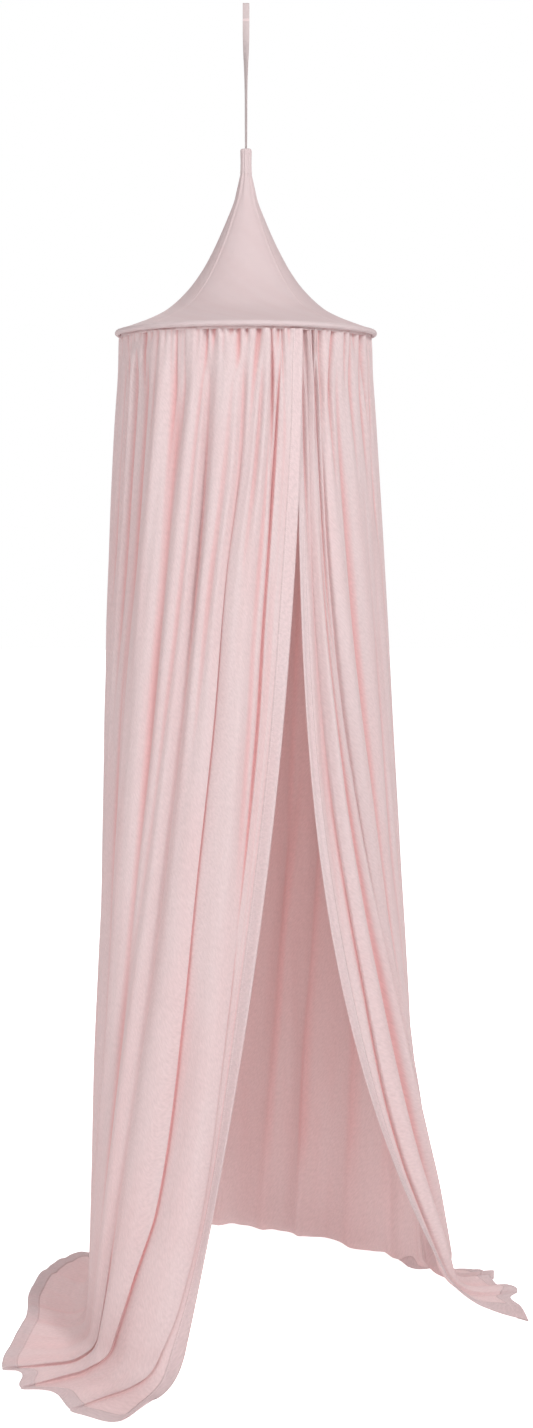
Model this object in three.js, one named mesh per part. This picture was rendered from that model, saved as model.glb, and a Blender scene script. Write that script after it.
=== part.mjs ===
// Bed crown canopy: a limp tape carries a flared cloth cone, the cone's rim casing holds a wire hoop,
// and a gathered curtain hangs from the rim to the floor, split at the front into two flaps.
// Millimetres, +Z up, -Y is the front. The origin is the point where a hook carries the tape's loop,
// and the hoop's axis is the Z axis.
import * as THREE from 'three';

// Driving dimensions of the tape and the neck
const tapeWidth = 13;
const tapeThickness = 1.1;
const tapePlyGap = 0.5;
const tapeEyeRadius = 5;
const tapeEyeHeight = 30;
const tapeVisibleLength = 284;
const tapeTailInNeck = 34;
const tapeSwivelDrop = 120;
const tackHeight = 4;
const tackThickness = 0.8;
const neckDiameter = 21;
const neckHeight = 46;

// Driving dimensions of the cone, the hoop and the rim
const coneHeight = 362;
const coneCloth = 1.2;
const coneGoreCount = 4;
const goreSeamAngle = -45;
const hoopDiameter = 500;
const hoopWire = 5;
const hoopEndGap = 1.2;
const ferruleLength = 44;
const ferruleWall = 0.9;
const ferruleSplitAngle = 40;
const casingDiameter = 10.8;
const casingCloth = 1.1;
const casingOpening = 3.2;
const headingHeight = 12;
const headingThickness = 1.6;
const headingSeat = 0.6;
const curtainDropBelowRim = 3;

// Driving dimensions of the curtain
const rimHeight = 1880;
const curtainCloth = 1.6;
const edgeHemWidth = 18;
const bottomHemWidth = 26;
const lapLift = 6;
const floorBendRadius = 70;
const foldDepthTop = 4;
const foldDepthBottom = 26;
const floorRipple = 7;
const slitAngle = -65;
const lapAngle = 2;

// Clearances
const seamGap = 0.8;
const edgeGap = 1.5;
const touchGap = 0.3;

// Levels and radii that follow
const hoopRadius = hoopDiameter / 2;
const neckTop = -tapeVisibleLength;
const neckBottom = neckTop - neckHeight;
const rimLevel = neckTop - coneHeight;
const floorLevel = rimLevel - rimHeight;
const casingRadius = casingDiameter / 2;
const curtainTop = rimLevel - casingRadius - curtainDropBelowRim;
const curtainRadius = hoopRadius - casingRadius;
const headingOuter = curtainRadius - touchGap;
const headingBottom = curtainTop + headingSeat;

// Shapes given as shares of the sizes above, chosen by hand
// The cone's radius beyond the neck, against its drop from neck to rim
const coneProfileShares = [
  [0, 0], [0.056, 0.016], [0.117, 0.035], [0.179, 0.056], [0.276, 0.106], [0.394, 0.172],
  [0.512, 0.247], [0.63, 0.334], [0.747, 0.445], [0.864, 0.604], [0.926, 0.752], [1, 1],
];
// The curtain's thread number, then where that thread meets the floor, in hoop radii
const floorPlanShares = [
  [0, -0.46, -1.38], [0.025, -0.66, -1.43], [0.071, -0.97, -1.25], [0.108, -1.11, -1.04],
  [0.16, -1.17, -0.8], [0.21, -1.19, -0.56], [0.28, -1.19, -0.24], [0.36, -1.19, 0.26],
  [0.44, -1.14, 0.7], [0.52, -0.84, 1.05], [0.58, -0.46, 1.18], [0.65, 0, 1.12],
  [0.73, 0.62, 0.84], [0.77, 0.96, 0.66], [0.819, 1.34, 0.5], [0.88, 1.46, 0.32], [0.94, 1.58, 0.13], [0.97, 1.64, 0.03],
  [1, 1.67, -0.06],
];
// The thread number, then where its hem ends on the floor, in hoop radii
const hemPlanShares = [
  [0, -0.66, -1.66], [0.013, -0.86, -1.92], [0.021, -1.1, -1.8], [0.028, -1.19, -1.73],
  [0.055, -1.34, -1.5], [0.071, -1.56, -1.46], [0.09, -1.58, -1.26], [0.108, -1.73, -1.18],
  [0.16, -1.72, -0.76], [0.21, -1.67, -0.36], [0.28, -1.7, 0.04], [0.32, -1.65, 0.34],
  [0.355, -1.58, 0.54], [0.39, -1.43, 0.76], [0.42, -1.24, 0.76], [0.44, -1.141, 0.701], [0.465, -1.075, 0.86],
  [0.5, -1.08, 1.12], [0.55, -0.76, 1.42], [0.65, 0, 1.48], [0.73, 0.74, 1.16], [0.79, 1.28, 0.72],
  [0.819, 1.341, 0.501], [0.845, 1.66, 0.5], [0.87, 1.92, 0.43], [0.892, 1.98, 0.33],
  [0.912, 1.94, 0.22], [0.94, 2.13, 0.09], [0.962, 2.06, -0.05], [0.98, 2.12, -0.2], [1, 2.145, -0.45],
];
// The thread number, then how late on its way down a thread leaves the vertical: 1 is a straight line
const leanPowerShares = [
  [0, 1.9], [0.025, 1.8], [0.071, 1.6], [0.14, 1.2], [0.21, 1], [0.36, 1], [0.44, 1], [0.58, 1],
  [0.73, 1], [0.819, 1], [0.88, 1.25], [0.94, 1.9], [0.97, 2.6], [1, 3.2],
];
// The creases between the main folds: the thread number of each, then how deep the fold after it is
const creaseShares = [
  [0, 0.4], [0.025, 0.6], [0.048, 0.6], [0.071, 0.9], [0.108, 0.8], [0.147, 1.1], [0.21, 0.9],
  [0.253, 0.8], [0.29, 1], [0.335, 0.9], [0.378, 0.7], [0.41, 0.6], [0.44, 0.7], [0.474, 1],
  [0.518, 1.1], [0.57, 1], [0.615, 1.2], [0.668, 0.9], [0.71, 1.1], [0.757, 0.9], [0.795, 0.6],
  [0.819, 0.7], [0.848, 0.9], [0.884, 1], [0.918, 0.8], [0.945, 0.8], [0.972, 0.9], [0.991, 0.4],
  [1, 0],
];
// How far apart the points lie that a surface's normal is worked out from
const normalStepShare = 0.0015;
const baseStepShare = 0.004;
// The part of a fold's depth that lies inside the thread's own line
const foldMiddleShare = 0.4;
// How round a fold's back is, and how its depth grows on the way down
const foldRoundPower = 0.8;
const foldGrowthPower = 0.8;
// How many threads beside a side seam and beside a free edge stay calm
const seamCalmShares = { from: 0.002, to: 0.03 };
const edgeCalmShare = 0.012;
// How far the lap reaches along the rim and down the curtain
const lapThreadShare = 0.06;
const lapDropShare = 0.3;
// The slopes between which a thread passes from hanging to lying
const lyingSlopes = { from: 0.2, to: 0.9 };
// The length of the bend at the floor, against its reach
const bendLengthShare = 1.6;
// Where the panels meet, as thread numbers
const seamThreadShares = { left: 0.44, back: 0.615, right: 0.819 };

// Colours and surfaces
const tapeFinish = { color: 0xe3c4c2, roughness: 0.85, metalness: 0 };
const coneFinish = { color: 0xd9c2c2, roughness: 0.9, metalness: 0 };
const curtainFinish = { color: 0xecd3d3, roughness: 0.92, metalness: 0 };
const hoopFinish = { color: 0xd8d8d6, roughness: 0.4, metalness: 0.8 };
const threadFinish = { color: 0xf3e4e3, roughness: 0.8, metalness: 0 };

const canopy = new THREE.Group();

function addPiece(name, geometry, finish) {
  const mesh = new THREE.Mesh(geometry, new THREE.MeshStandardMaterial(finish));
  mesh.name = name;
  canopy.add(mesh);
  return mesh;
}

// Turns rows of points and triangles into a geometry whose faces point out
function closedGeometry(points, triangles) {
  const a = new THREE.Vector3();
  let volume = 0;
  for (const [i, j, k] of triangles) {
    volume += a.crossVectors(points[i], points[j]).dot(points[k]);
  }
  const faces = volume < 0 ? triangles.map(([i, j, k]) => [i, k, j]) : triangles;
  const geometry = new THREE.BufferGeometry();
  geometry.setAttribute('position', new THREE.Float32BufferAttribute(
    points.flatMap((p) => [p.x, p.y, p.z]), 3));
  geometry.setIndex(faces.flat());
  geometry.computeVertexNormals();
  return geometry;
}

// Normal of a surface given as a function of two shares, by small steps along it
function surfaceNormal(surface, u, v, uStep, vStep) {
  const alongU = surface(u + uStep, v).sub(surface(u - uStep, v));
  const alongV = surface(u, v + vStep).sub(surface(u, v - vStep));
  return alongU.cross(alongV).normalize();
}

// A sheet of cloth with a thickness: the surface is its middle, over the given parts of u and v
function sheetGeometry(surface, uList, vList, thickness) {
  const uStep = normalStepShare;
  const vStep = normalStepShare;
  const outer = [];
  const inner = [];
  for (const u of uList) {
    for (const v of vList) {
      const middle = surface(u, v);
      const half = surfaceNormal(surface, u, v, uStep, vStep).multiplyScalar(thickness / 2);
      outer.push(middle.clone().add(half));
      inner.push(middle.clone().sub(half));
    }
  }
  const rows = uList.length;
  const columns = vList.length;
  const offset = outer.length;
  const triangles = [];
  const at = (i, j) => i * columns + j;
  const quad = (p, q, r, s) => triangles.push([p, q, r], [p, r, s]);
  for (let i = 0; i + 1 < rows; i += 1) {
    for (let j = 0; j + 1 < columns; j += 1) {
      quad(at(i, j), at(i + 1, j), at(i + 1, j + 1), at(i, j + 1));
      quad(offset + at(i, j), offset + at(i, j + 1), offset + at(i + 1, j + 1), offset + at(i + 1, j));
    }
  }
  for (let i = 0; i + 1 < rows; i += 1) {
    const last = columns - 1;
    quad(at(i, 0), offset + at(i, 0), offset + at(i + 1, 0), at(i + 1, 0));
    quad(at(i, last), at(i + 1, last), offset + at(i + 1, last), offset + at(i, last));
  }
  for (let j = 0; j + 1 < columns; j += 1) {
    const last = rows - 1;
    quad(at(0, j), at(0, j + 1), offset + at(0, j + 1), offset + at(0, j));
    quad(at(last, j), offset + at(last, j), offset + at(last, j + 1), at(last, j + 1));
  }
  return closedGeometry([...outer, ...inner], triangles);
}

function evenList(from, to, steps) {
  return Array.from({ length: steps + 1 }, (_, i) => from + (to - from) * i / steps);
}

// Smooth curve through a table whose first column is the place along it
function smoothTable(table) {
  return (place) => {
    let i = 0;
    while (i < table.length - 2 && place > table[i + 1][0]) i += 1;
    const t = (place - table[i][0]) / (table[i + 1][0] - table[i][0]);
    return table[0].slice(1).map((_, column) => {
      const slope = (k) => {
        const low = Math.max(k - 1, 0);
        const high = Math.min(k + 1, table.length - 1);
        return (table[high][column + 1] - table[low][column + 1]) / (table[high][0] - table[low][0]);
      };
      const width = table[i + 1][0] - table[i][0];
      const [p, q] = [table[i][column + 1], table[i + 1][column + 1]];
      const [m, n] = [slope(i) * width, slope(i + 1) * width];
      return (2 * t ** 3 - 3 * t ** 2 + 1) * p + (t ** 3 - 2 * t ** 2 + t) * m
        + (3 * t ** 2 - 2 * t ** 3) * q + (t ** 3 - t ** 2) * n;
    });
  };
}

// A flat tape swept along a line of side and height pairs. It shows its face at the eye and makes a
// quarter turn on its way down, so that it goes into the neck edge on.
function tapeGeometry(path) {
  const points = [];
  path.forEach(([x, z], i) => {
    const [beforeX, beforeZ] = path[Math.max(i - 1, 0)];
    const [afterX, afterZ] = path[Math.min(i + 1, path.length - 1)];
    const length = Math.hypot(afterX - beforeX, afterZ - beforeZ);
    const [alongX, alongZ] = [(afterX - beforeX) / length, (afterZ - beforeZ) / length];
    const turnShare = 1 - THREE.MathUtils.smoothstep(-z, tapeEyeHeight, tapeVisibleLength);
    const turn = turnShare * Math.PI / 2;
    const across = new THREE.Vector3(Math.cos(turn), Math.sin(turn), 0);
    const wide = new THREE.Vector3(-Math.sin(turn), Math.cos(turn), 0);
    const centre = across.clone().multiplyScalar(x).setZ(z);
    const thick = across.clone().multiplyScalar(alongZ).setZ(-alongX);
    for (const [w, t] of [[-1, -1], [1, -1], [1, 1], [-1, 1]]) {
      points.push(centre.clone().addScaledVector(wide, w * tapeWidth / 2)
        .addScaledVector(thick, t * tapeThickness / 2));
    }
  });
  const triangles = [];
  for (let i = 0; i + 1 < path.length; i += 1) {
    for (let j = 0; j < 4; j += 1) {
      const [a, b] = [i * 4 + j, i * 4 + (j + 1) % 4];
      triangles.push([a, b, b + 4], [a, b + 4, a + 4]);
    }
  }
  const end = (path.length - 1) * 4;
  triangles.push([0, 2, 1], [0, 3, 2], [end, end + 1, end + 2], [end, end + 2, end + 3]);
  return closedGeometry(points, triangles);
}

const plyOffset = (tapePlyGap + tapeThickness) / 2;

// The side of a looped line that is given, and then its mirror image back again
function thereAndBack(line) {
  return [...line, ...line.slice(0, -1).reverse().map(([x, z]) => [-x, z])];
}

// The tape above its swivel level: two plies that part into the eye a hook goes through
function upperTapePath() {
  const loopRadius = tapeEyeRadius + tapeThickness / 2;
  const eyeBottom = -tapeEyeHeight;
  const plySteps = 10;
  const spreadSteps = 6;
  const loopSteps = 14;
  const line = evenList(-tapeSwivelDrop, eyeBottom, plySteps).map((z) => [-plyOffset, z]);
  for (const share of evenList(0, 1, spreadSteps).slice(1)) {
    const spread = THREE.MathUtils.smoothstep(share, 0, 1);
    const z = eyeBottom + (-tapeEyeRadius - eyeBottom) * share;
    line.push([-plyOffset - (loopRadius - plyOffset) * spread, z]);
  }
  for (const angle of evenList(Math.PI, Math.PI / 2, loopSteps / 2).slice(1)) {
    line.push([loopRadius * Math.cos(angle), -tapeEyeRadius + loopRadius * Math.sin(angle)]);
  }
  return thereAndBack(line);
}

// The tape below its swivel level: two plies that join in a fold inside the neck
function lowerTapePath() {
  const lowest = neckTop - tapeTailInNeck;
  const plySteps = 14;
  const foldSteps = 6;
  const line = evenList(-tapeSwivelDrop - touchGap, lowest, plySteps).map((z) => [-plyOffset, z]);
  for (const angle of evenList(Math.PI, Math.PI * 1.5, foldSteps / 2).slice(1)) {
    line.push([plyOffset * Math.cos(angle), lowest + plyOffset * Math.sin(angle)]);
  }
  return thereAndBack(line);
}

// A collar with a slot that the tape's two plies fill, from one level up to another
function slottedCollar(outline, slotAcross, slotWide, bottom, height) {
  const [halfAcross, halfWide] = [slotAcross / 2, slotWide / 2];
  const slot = new THREE.Path([
    new THREE.Vector2(-halfAcross, -halfWide), new THREE.Vector2(-halfAcross, halfWide),
    new THREE.Vector2(halfAcross, halfWide), new THREE.Vector2(halfAcross, -halfWide),
  ]);
  outline.holes.push(slot);
  const settings = { depth: height, bevelEnabled: false, curveSegments: 14 };
  return new THREE.ExtrudeGeometry(outline, settings).translate(0, 0, bottom);
}

const pliesAcross = tapePlyGap + 2 * tapeThickness + 2 * touchGap;
const pliesWide = tapeWidth + 2 * touchGap;

function neckGeometry() {
  const outline = new THREE.Shape().absarc(0, 0, neckDiameter / 2, 0, Math.PI * 2);
  return slottedCollar(outline, pliesAcross, pliesWide, neckBottom, neckHeight);
}

// The stitched bar under the eye, where the tape still shows its face
function tackGeometry() {
  const [halfAcross, halfWide] = [pliesAcross / 2 + tackThickness, pliesWide / 2 + tackThickness];
  const outline = new THREE.Shape([
    new THREE.Vector2(-halfAcross, -halfWide), new THREE.Vector2(halfAcross, -halfWide),
    new THREE.Vector2(halfAcross, halfWide), new THREE.Vector2(-halfAcross, halfWide),
  ]);
  const bottom = -tapeEyeHeight - tackHeight;
  return slottedCollar(outline, pliesAcross, pliesWide, bottom, tackHeight).rotateZ(Math.PI / 2);
}

// A ring-shaped piece round the Z axis from an outline of radius and height pairs
function ringGeometry(outline, segments, from = 0, turn = Math.PI * 2) {
  const profile = [...outline, outline[0]].map(([r, z]) => new THREE.Vector2(r, z));
  return new THREE.LatheGeometry(profile, segments, from, turn).rotateX(Math.PI / 2);
}

function circleOutline(centreRadius, centreLevel, radius, sides) {
  return Array.from({ length: sides }, (_, i) => {
    const angle = 2 * Math.PI * i / sides;
    return [centreRadius + radius * Math.cos(angle), centreLevel + radius * Math.sin(angle)];
  });
}

const rimSegmentCount = 64;

// A bent rod round the hoop's axis, capped at both ends, between two angles
function arcRodGeometry(outline, fromAngle, toAngle, steps) {
  const points = [];
  for (const angle of evenList(fromAngle, toAngle, steps)) {
    for (const [r, z] of outline) {
      points.push(new THREE.Vector3(r * Math.cos(angle), r * Math.sin(angle), z));
    }
  }
  const count = outline.length;
  const triangles = [];
  for (let i = 0; i < steps; i += 1) {
    for (let j = 0; j < count; j += 1) {
      const [a, b] = [i * count + j, i * count + (j + 1) % count];
      triangles.push([a, b, b + count], [a, b + count, a + count]);
    }
  }
  return { points, triangles, count };
}

function hoopGeometry() {
  const halfOpen = hoopEndGap / 2 / hoopRadius;
  const outline = circleOutline(hoopRadius, rimLevel, hoopWire / 2, 8);
  const { points, triangles, count } = arcRodGeometry(
    outline, Math.PI / 2 + halfOpen, Math.PI * 2.5 - halfOpen, 72);
  const end = points.length - count;
  for (let j = 1; j + 1 < count; j += 1) {
    triangles.push([0, j + 1, j], [end, end + j, end + j + 1]);
  }
  return closedGeometry(points, triangles);
}

// The ferrule is a split sleeve, so its outline is a C that follows the hoop
function ferruleGeometry() {
  const inner = hoopWire / 2 + touchGap;
  const outer = inner + ferruleWall;
  const sides = 14;
  const halfOpen = THREE.MathUtils.degToRad(ferruleSplitAngle / 2);
  const outline = [];
  for (const angle of evenList(Math.PI + halfOpen, Math.PI * 3 - halfOpen, sides)) {
    outline.push([hoopRadius + outer * Math.cos(angle), rimLevel + outer * Math.sin(angle)]);
  }
  for (const angle of evenList(Math.PI * 3 - halfOpen, Math.PI + halfOpen, sides)) {
    outline.push([hoopRadius + inner * Math.cos(angle), rimLevel + inner * Math.sin(angle)]);
  }
  const reach = ferruleLength / 2 / hoopRadius;
  const { points, triangles, count } = arcRodGeometry(
    outline, Math.PI / 2 - reach, Math.PI / 2 + reach, 8);
  const end = points.length - count;
  for (let j = 0; j < sides; j += 1) {
    const far = count - 1 - j;
    triangles.push([j, far - 1, j + 1], [j, far, far - 1]);
    triangles.push([end + j, end + j + 1, end + far - 1], [end + j, end + far - 1, end + far]);
  }
  return closedGeometry(points, triangles);
}

// The casing wraps the hoop and opens inwards, where its edges are sewn to the band
function casingGeometry() {
  const outer = casingRadius;
  const inner = casingRadius - casingCloth;
  const sides = 9;
  const halfOpen = Math.asin(casingOpening / 2 / outer);
  const middle = Math.PI;
  const outline = [];
  for (const angle of evenList(middle + halfOpen, middle + Math.PI * 2 - halfOpen, sides)) {
    outline.push([hoopRadius + outer * Math.cos(angle), rimLevel + outer * Math.sin(angle)]);
  }
  for (const angle of evenList(middle + Math.PI * 2 - halfOpen, middle + halfOpen, sides)) {
    outline.push([hoopRadius + inner * Math.cos(angle), rimLevel + inner * Math.sin(angle)]);
  }
  return ringGeometry(outline, rimSegmentCount);
}

// The cone's cloth: u is the place round the axis in turns, v the drop from neck to rim
const coneRadiusAt = smoothTable(coneProfileShares);
const coneFoot = rimLevel + casingRadius + coneCloth / 2 + touchGap;
function coneSurface(u, v) {
  const reach = hoopRadius - neckDiameter / 2;
  const radius = neckDiameter / 2 - coneCloth / 2 + reach * coneRadiusAt(v)[0];
  const angle = u * Math.PI * 2;
  const level = neckBottom - touchGap + (coneFoot - neckBottom + touchGap) * v;
  return new THREE.Vector3(radius * Math.cos(angle), radius * Math.sin(angle), level);
}

// Curtain threads run from the band to the hem. Thread 0 is the left flap's free edge, the numbers
// go round by the left, the back and the right, and thread 1 is the right flap's free edge.
const floorPlan = smoothTable(floorPlanShares);
const hemPlan = smoothTable(hemPlanShares);
const leanPower = smoothTable(leanPowerShares);
const curtainDrop = curtainTop - floorLevel - curtainCloth / 2 - touchGap;

// Folds die out at the side seams, which are the straight lines that the flaps swing about
function seamCalm(thread) {
  const nearest = Math.min(
    Math.abs(thread - seamThreadShares.left), Math.abs(thread - seamThreadShares.right));
  return THREE.MathUtils.smoothstep(nearest, seamCalmShares.from, seamCalmShares.to);
}

// How far a fold stands out from its creases, as a share: a broad round back between narrow creases
function foldWave(thread) {
  const place = THREE.MathUtils.clamp(thread, 0, 1);
  let i = 0;
  while (i < creaseShares.length - 2 && place > creaseShares[i + 1][0]) i += 1;
  const [from, depth] = creaseShares[i];
  const across = (place - from) / (creaseShares[i + 1][0] - from);
  return (depth * Math.sin(Math.PI * across) ** foldRoundPower - foldMiddleShare) * seamCalm(thread);
}

// The angle round the hoop at which a thread starts
function threadAngle(thread) {
  return THREE.MathUtils.degToRad(slitAngle - thread * (360 + lapAngle));
}

// The thread's own line without folds: down to the floor, a bend there, then along the floor
function curtainBase(thread, drop) {
  const angle = threadAngle(thread);
  const lapAlong = THREE.MathUtils.smoothstep(lapThreadShare - thread, 0, lapThreadShare);
  const lapDown = THREE.MathUtils.smoothstep(lapDropShare - drop, 0, lapDropShare);
  const lift = lapLift * lapAlong * lapDown;
  const topRadius = curtainRadius + lift;
  const top = new THREE.Vector3(topRadius * Math.cos(angle), topRadius * Math.sin(angle), curtainTop);
  const place = THREE.MathUtils.clamp(thread, 0, 1);
  const [floorX, floorY] = floorPlan(place);
  const [hemX, hemY] = hemPlan(place);
  const [power] = leanPower(place);
  const floorZ = curtainTop - curtainDrop;
  const foot = new THREE.Vector3(floorX * hoopRadius, floorY * hoopRadius, floorZ);
  const hem = new THREE.Vector3(hemX * hoopRadius, hemY * hoopRadius, floorZ);
  const tail = hem.clone().sub(foot);
  const hanging = top.distanceTo(foot);
  const bend = Math.min(floorBendRadius, tail.length());
  const straight = hanging - bend;
  const curve = bend * bendLengthShare;
  const along = drop * (straight + curve + Math.max(tail.length() - bend, 0));
  const hangingPlace = (share) => {
    const lean = Math.max(share, 0) ** power;
    return new THREE.Vector3(
      THREE.MathUtils.lerp(top.x, foot.x, lean), THREE.MathUtils.lerp(top.y, foot.y, lean),
      THREE.MathUtils.lerp(top.z, foot.z, share));
  };
  if (along <= straight) return hangingPlace(along / hanging);
  const bendEnd = foot.clone().addScaledVector(tail.clone().normalize(), bend);
  if (along >= straight + curve) {
    return bendEnd.addScaledVector(tail.normalize(), along - straight - curve);
  }
  const t = (along - straight) / curve;
  return hangingPlace(straight / hanging).multiplyScalar((1 - t) ** 2)
    .addScaledVector(foot, 2 * t * (1 - t)).addScaledVector(bendEnd, t ** 2);
}

function curtainSurface(thread, drop) {
  const place = curtainBase(thread, drop);
  const normal = surfaceNormal(curtainBase, thread, drop, baseStepShare, baseStepShare);
  const lying = THREE.MathUtils.smoothstep(Math.abs(normal.z), lyingSlopes.from, lyingSlopes.to);
  const growth = Math.max(drop, 0) ** foldGrowthPower;
  const hanging = foldDepthTop + (foldDepthBottom - foldDepthTop) * growth;
  const wave = foldWave(thread);
  const edgeCalm = THREE.MathUtils.smoothstep(Math.min(thread, 1 - thread), 0, edgeCalmShare);
  const outward = Math.sign(normal.x * place.x + normal.y * place.y + normal.z * hoopRadius) || 1;
  const ripple = floorRipple * (wave + foldMiddleShare * seamCalm(thread));
  const amount = hanging * wave * (1 - lying) * edgeCalm + Math.max(ripple, 0) * lying;
  return place.addScaledVector(normal, outward * amount);
}

// Thread steps round the curtain and drop steps down it
const dropShares = [0, 0.06, 0.14, 0.24, 0.35, 0.47, 0.59, 0.7, 0.79, 0.86, 0.895, 0.92, 0.945, 0.97, 1];

const hemDrop = bottomHemWidth / curtainDrop;
const seamThread = seamGap / 2 / (hoopDiameter * Math.PI);
const edgeThread = edgeHemWidth / (hoopDiameter * Math.PI);
const edgeTrim = edgeGap / 2 / (hoopDiameter * Math.PI);

const panels = [
  { name: 'left_front', from: 0, to: seamThreadShares.left, steps: 39, edge: 'from' },
  { name: 'back_left', from: seamThreadShares.left, to: seamThreadShares.back, steps: 17 },
  { name: 'back_right', from: seamThreadShares.back, to: seamThreadShares.right, steps: 20 },
  { name: 'right_front', from: seamThreadShares.right, to: 1, steps: 26, edge: 'to' },
];

// The heading tape that gathers the curtain's top, sewn inside the casing
function headingGeometry() {
  const inner = headingOuter - headingThickness;
  const outline = [
    [inner, headingBottom], [headingOuter, headingBottom],
    [headingOuter, headingBottom + headingHeight], [inner, headingBottom + headingHeight],
  ];
  return ringGeometry(outline, rimSegmentCount);
}

function addCurtain() {
  for (const { name, from, to, steps, edge } of panels) {
    const low = edge === 'from' ? from + edgeThread + edgeTrim : from + seamThread;
    const high = edge === 'to' ? to - edgeThread - edgeTrim : to - seamThread;
    const rows = dropShares.map((share) => share * (1 - hemDrop));
    const threads = evenList(low, high, steps);
    addPiece(`${name}_panel`, sheetGeometry(curtainSurface, threads, rows, curtainCloth), curtainFinish);
    const hemRows = evenList(1 - hemDrop + touchGap * 2 / curtainDrop, 1, 1);
    addPiece(`${name}_bottom_hem`,
      sheetGeometry(curtainSurface, threads, hemRows, curtainCloth), curtainFinish);
    if (edge) {
      const edgeLow = edge === 'from' ? from : to - edgeThread + edgeTrim;
      const edgeHigh = edge === 'from' ? from + edgeThread - edgeTrim : to;
      const edgeThreads = evenList(edgeLow, edgeHigh, 2);
      addPiece(`${name}_edge_hem`,
        sheetGeometry(curtainSurface, edgeThreads, [...rows, 1], curtainCloth), curtainFinish);
    }
  }
}

addPiece('tape_upper', tapeGeometry(upperTapePath()), tapeFinish);
addPiece('tape_lower', tapeGeometry(lowerTapePath()), tapeFinish);
addPiece('loop_tack', tackGeometry(), threadFinish);
addPiece('neck_sleeve', neckGeometry(), coneFinish);
addPiece('hoop_ring', hoopGeometry(), hoopFinish);
addPiece('hoop_ferrule', ferruleGeometry(), hoopFinish);
addPiece('rim_casing', casingGeometry(), coneFinish);
addPiece('heading_tape', headingGeometry(), curtainFinish);
for (let i = 0; i < coneGoreCount; i += 1) {
  const start = goreSeamAngle / 360 + i / coneGoreCount;
  const trim = seamGap / 2 / (neckDiameter * Math.PI);
  const threads = evenList(start + trim / 4, start + 1 / coneGoreCount - trim / 4, 12);
  const rows = evenList(0, 1, 13);
  addPiece(`cone_gore_${i + 1}`, sheetGeometry(coneSurface, threads, rows, coneCloth), coneFinish);
}
addCurtain();

export default canopy;
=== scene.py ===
"""Bed crown canopy: a twisted tape, a flared cotton cone on a hoop, and a long gathered curtain.

Metres, +Z up, -Y is the front. The origin is where a hook carries the tape's loop.
"""

import logging
import math
from dataclasses import dataclass
from enum import Enum

import bpy
import numpy as np
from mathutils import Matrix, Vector


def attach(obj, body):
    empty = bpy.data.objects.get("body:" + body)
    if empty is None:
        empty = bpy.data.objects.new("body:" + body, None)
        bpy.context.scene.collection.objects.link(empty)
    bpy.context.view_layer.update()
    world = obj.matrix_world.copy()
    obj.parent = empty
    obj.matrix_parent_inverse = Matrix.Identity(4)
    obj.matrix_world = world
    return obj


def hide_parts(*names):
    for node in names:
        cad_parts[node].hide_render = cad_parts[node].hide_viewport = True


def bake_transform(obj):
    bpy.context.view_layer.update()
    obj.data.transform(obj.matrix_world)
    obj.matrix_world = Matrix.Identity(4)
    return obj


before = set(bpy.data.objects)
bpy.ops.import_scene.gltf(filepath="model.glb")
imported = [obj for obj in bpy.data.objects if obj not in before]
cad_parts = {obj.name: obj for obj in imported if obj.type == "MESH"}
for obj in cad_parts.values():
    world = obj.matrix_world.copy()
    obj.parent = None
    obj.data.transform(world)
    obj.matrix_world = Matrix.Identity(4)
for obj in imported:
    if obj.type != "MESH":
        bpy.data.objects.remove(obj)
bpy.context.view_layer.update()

logging.basicConfig(level=logging.INFO, format="%(message)s")
log = logging.getLogger("canopy")

# The hoop, the rim and the levels that the frame gives
HOOP_RADIUS = 0.25
CASING_RADIUS = 0.0054
NECK_RADIUS = 0.0105
NECK_BOTTOM = -0.330
RIM_LEVEL = -0.646
FLOOR_LEVEL = -2.526
CURTAIN_TOP = -0.6544
CURTAIN_RADIUS = 0.2446
CURTAIN_ROUND = 2 * math.pi * CURTAIN_RADIUS
FLOOR_CLEARANCE = 0.0011


class Body(Enum):
    """The bodies that pieces ride on."""

    STRAP = "strap"
    CROWN = "crown"
    LEFT = "left_flap"
    RIGHT = "right_flap"


# ---------------------------------------------------------------- curves and noise


def smooth_step(value: np.ndarray, low: float, high: float) -> np.ndarray:
    """Rises smoothly from 0 to 1.

    Args:
        value: The places.
        low: Where the rise starts.
        high: Where it ends.

    Returns:
        The smoothed share at each place.
    """
    share = np.clip((value - low) / (high - low), 0.0, 1.0)
    return share * share * (3.0 - 2.0 * share)


def bell(away: np.ndarray, width: float | np.ndarray = 1.0) -> np.ndarray:
    """A bell curve, 1 at no distance and falling off over a width."""
    return np.exp(-((away / width) ** 2))


@dataclass(frozen=True)
class SmoothTable:
    """A smooth curve through rows whose first column is the place along it."""

    rows: tuple[tuple[float, ...], ...]

    def at(self, place: np.ndarray) -> np.ndarray:
        """Values of the other columns.

        Args:
            place: The places along the curve.

        Returns:
            An array with one more axis than place, for the columns.
        """
        table = np.array(self.rows)
        spots, values = table[:, 0], table[:, 1:]
        count = len(spots)
        low = np.maximum(np.arange(count) - 1, 0)
        high = np.minimum(np.arange(count) + 1, count - 1)
        slopes = (values[high] - values[low]) / (spots[high] - spots[low])[:, None]
        i = np.clip(np.searchsorted(spots, place, side="right") - 1, 0, count - 2)
        width = (spots[i + 1] - spots[i])[..., None]
        t = (np.asarray(place)[..., None] - spots[i][..., None]) / width
        start = (2 * t**3 - 3 * t**2 + 1) * values[i] + (t**3 - 2 * t**2 + t) * slopes[i] * width
        end = (3 * t**2 - 2 * t**3) * values[i + 1] + (t**3 - t**2) * slopes[i + 1] * width
        return start + end


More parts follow.
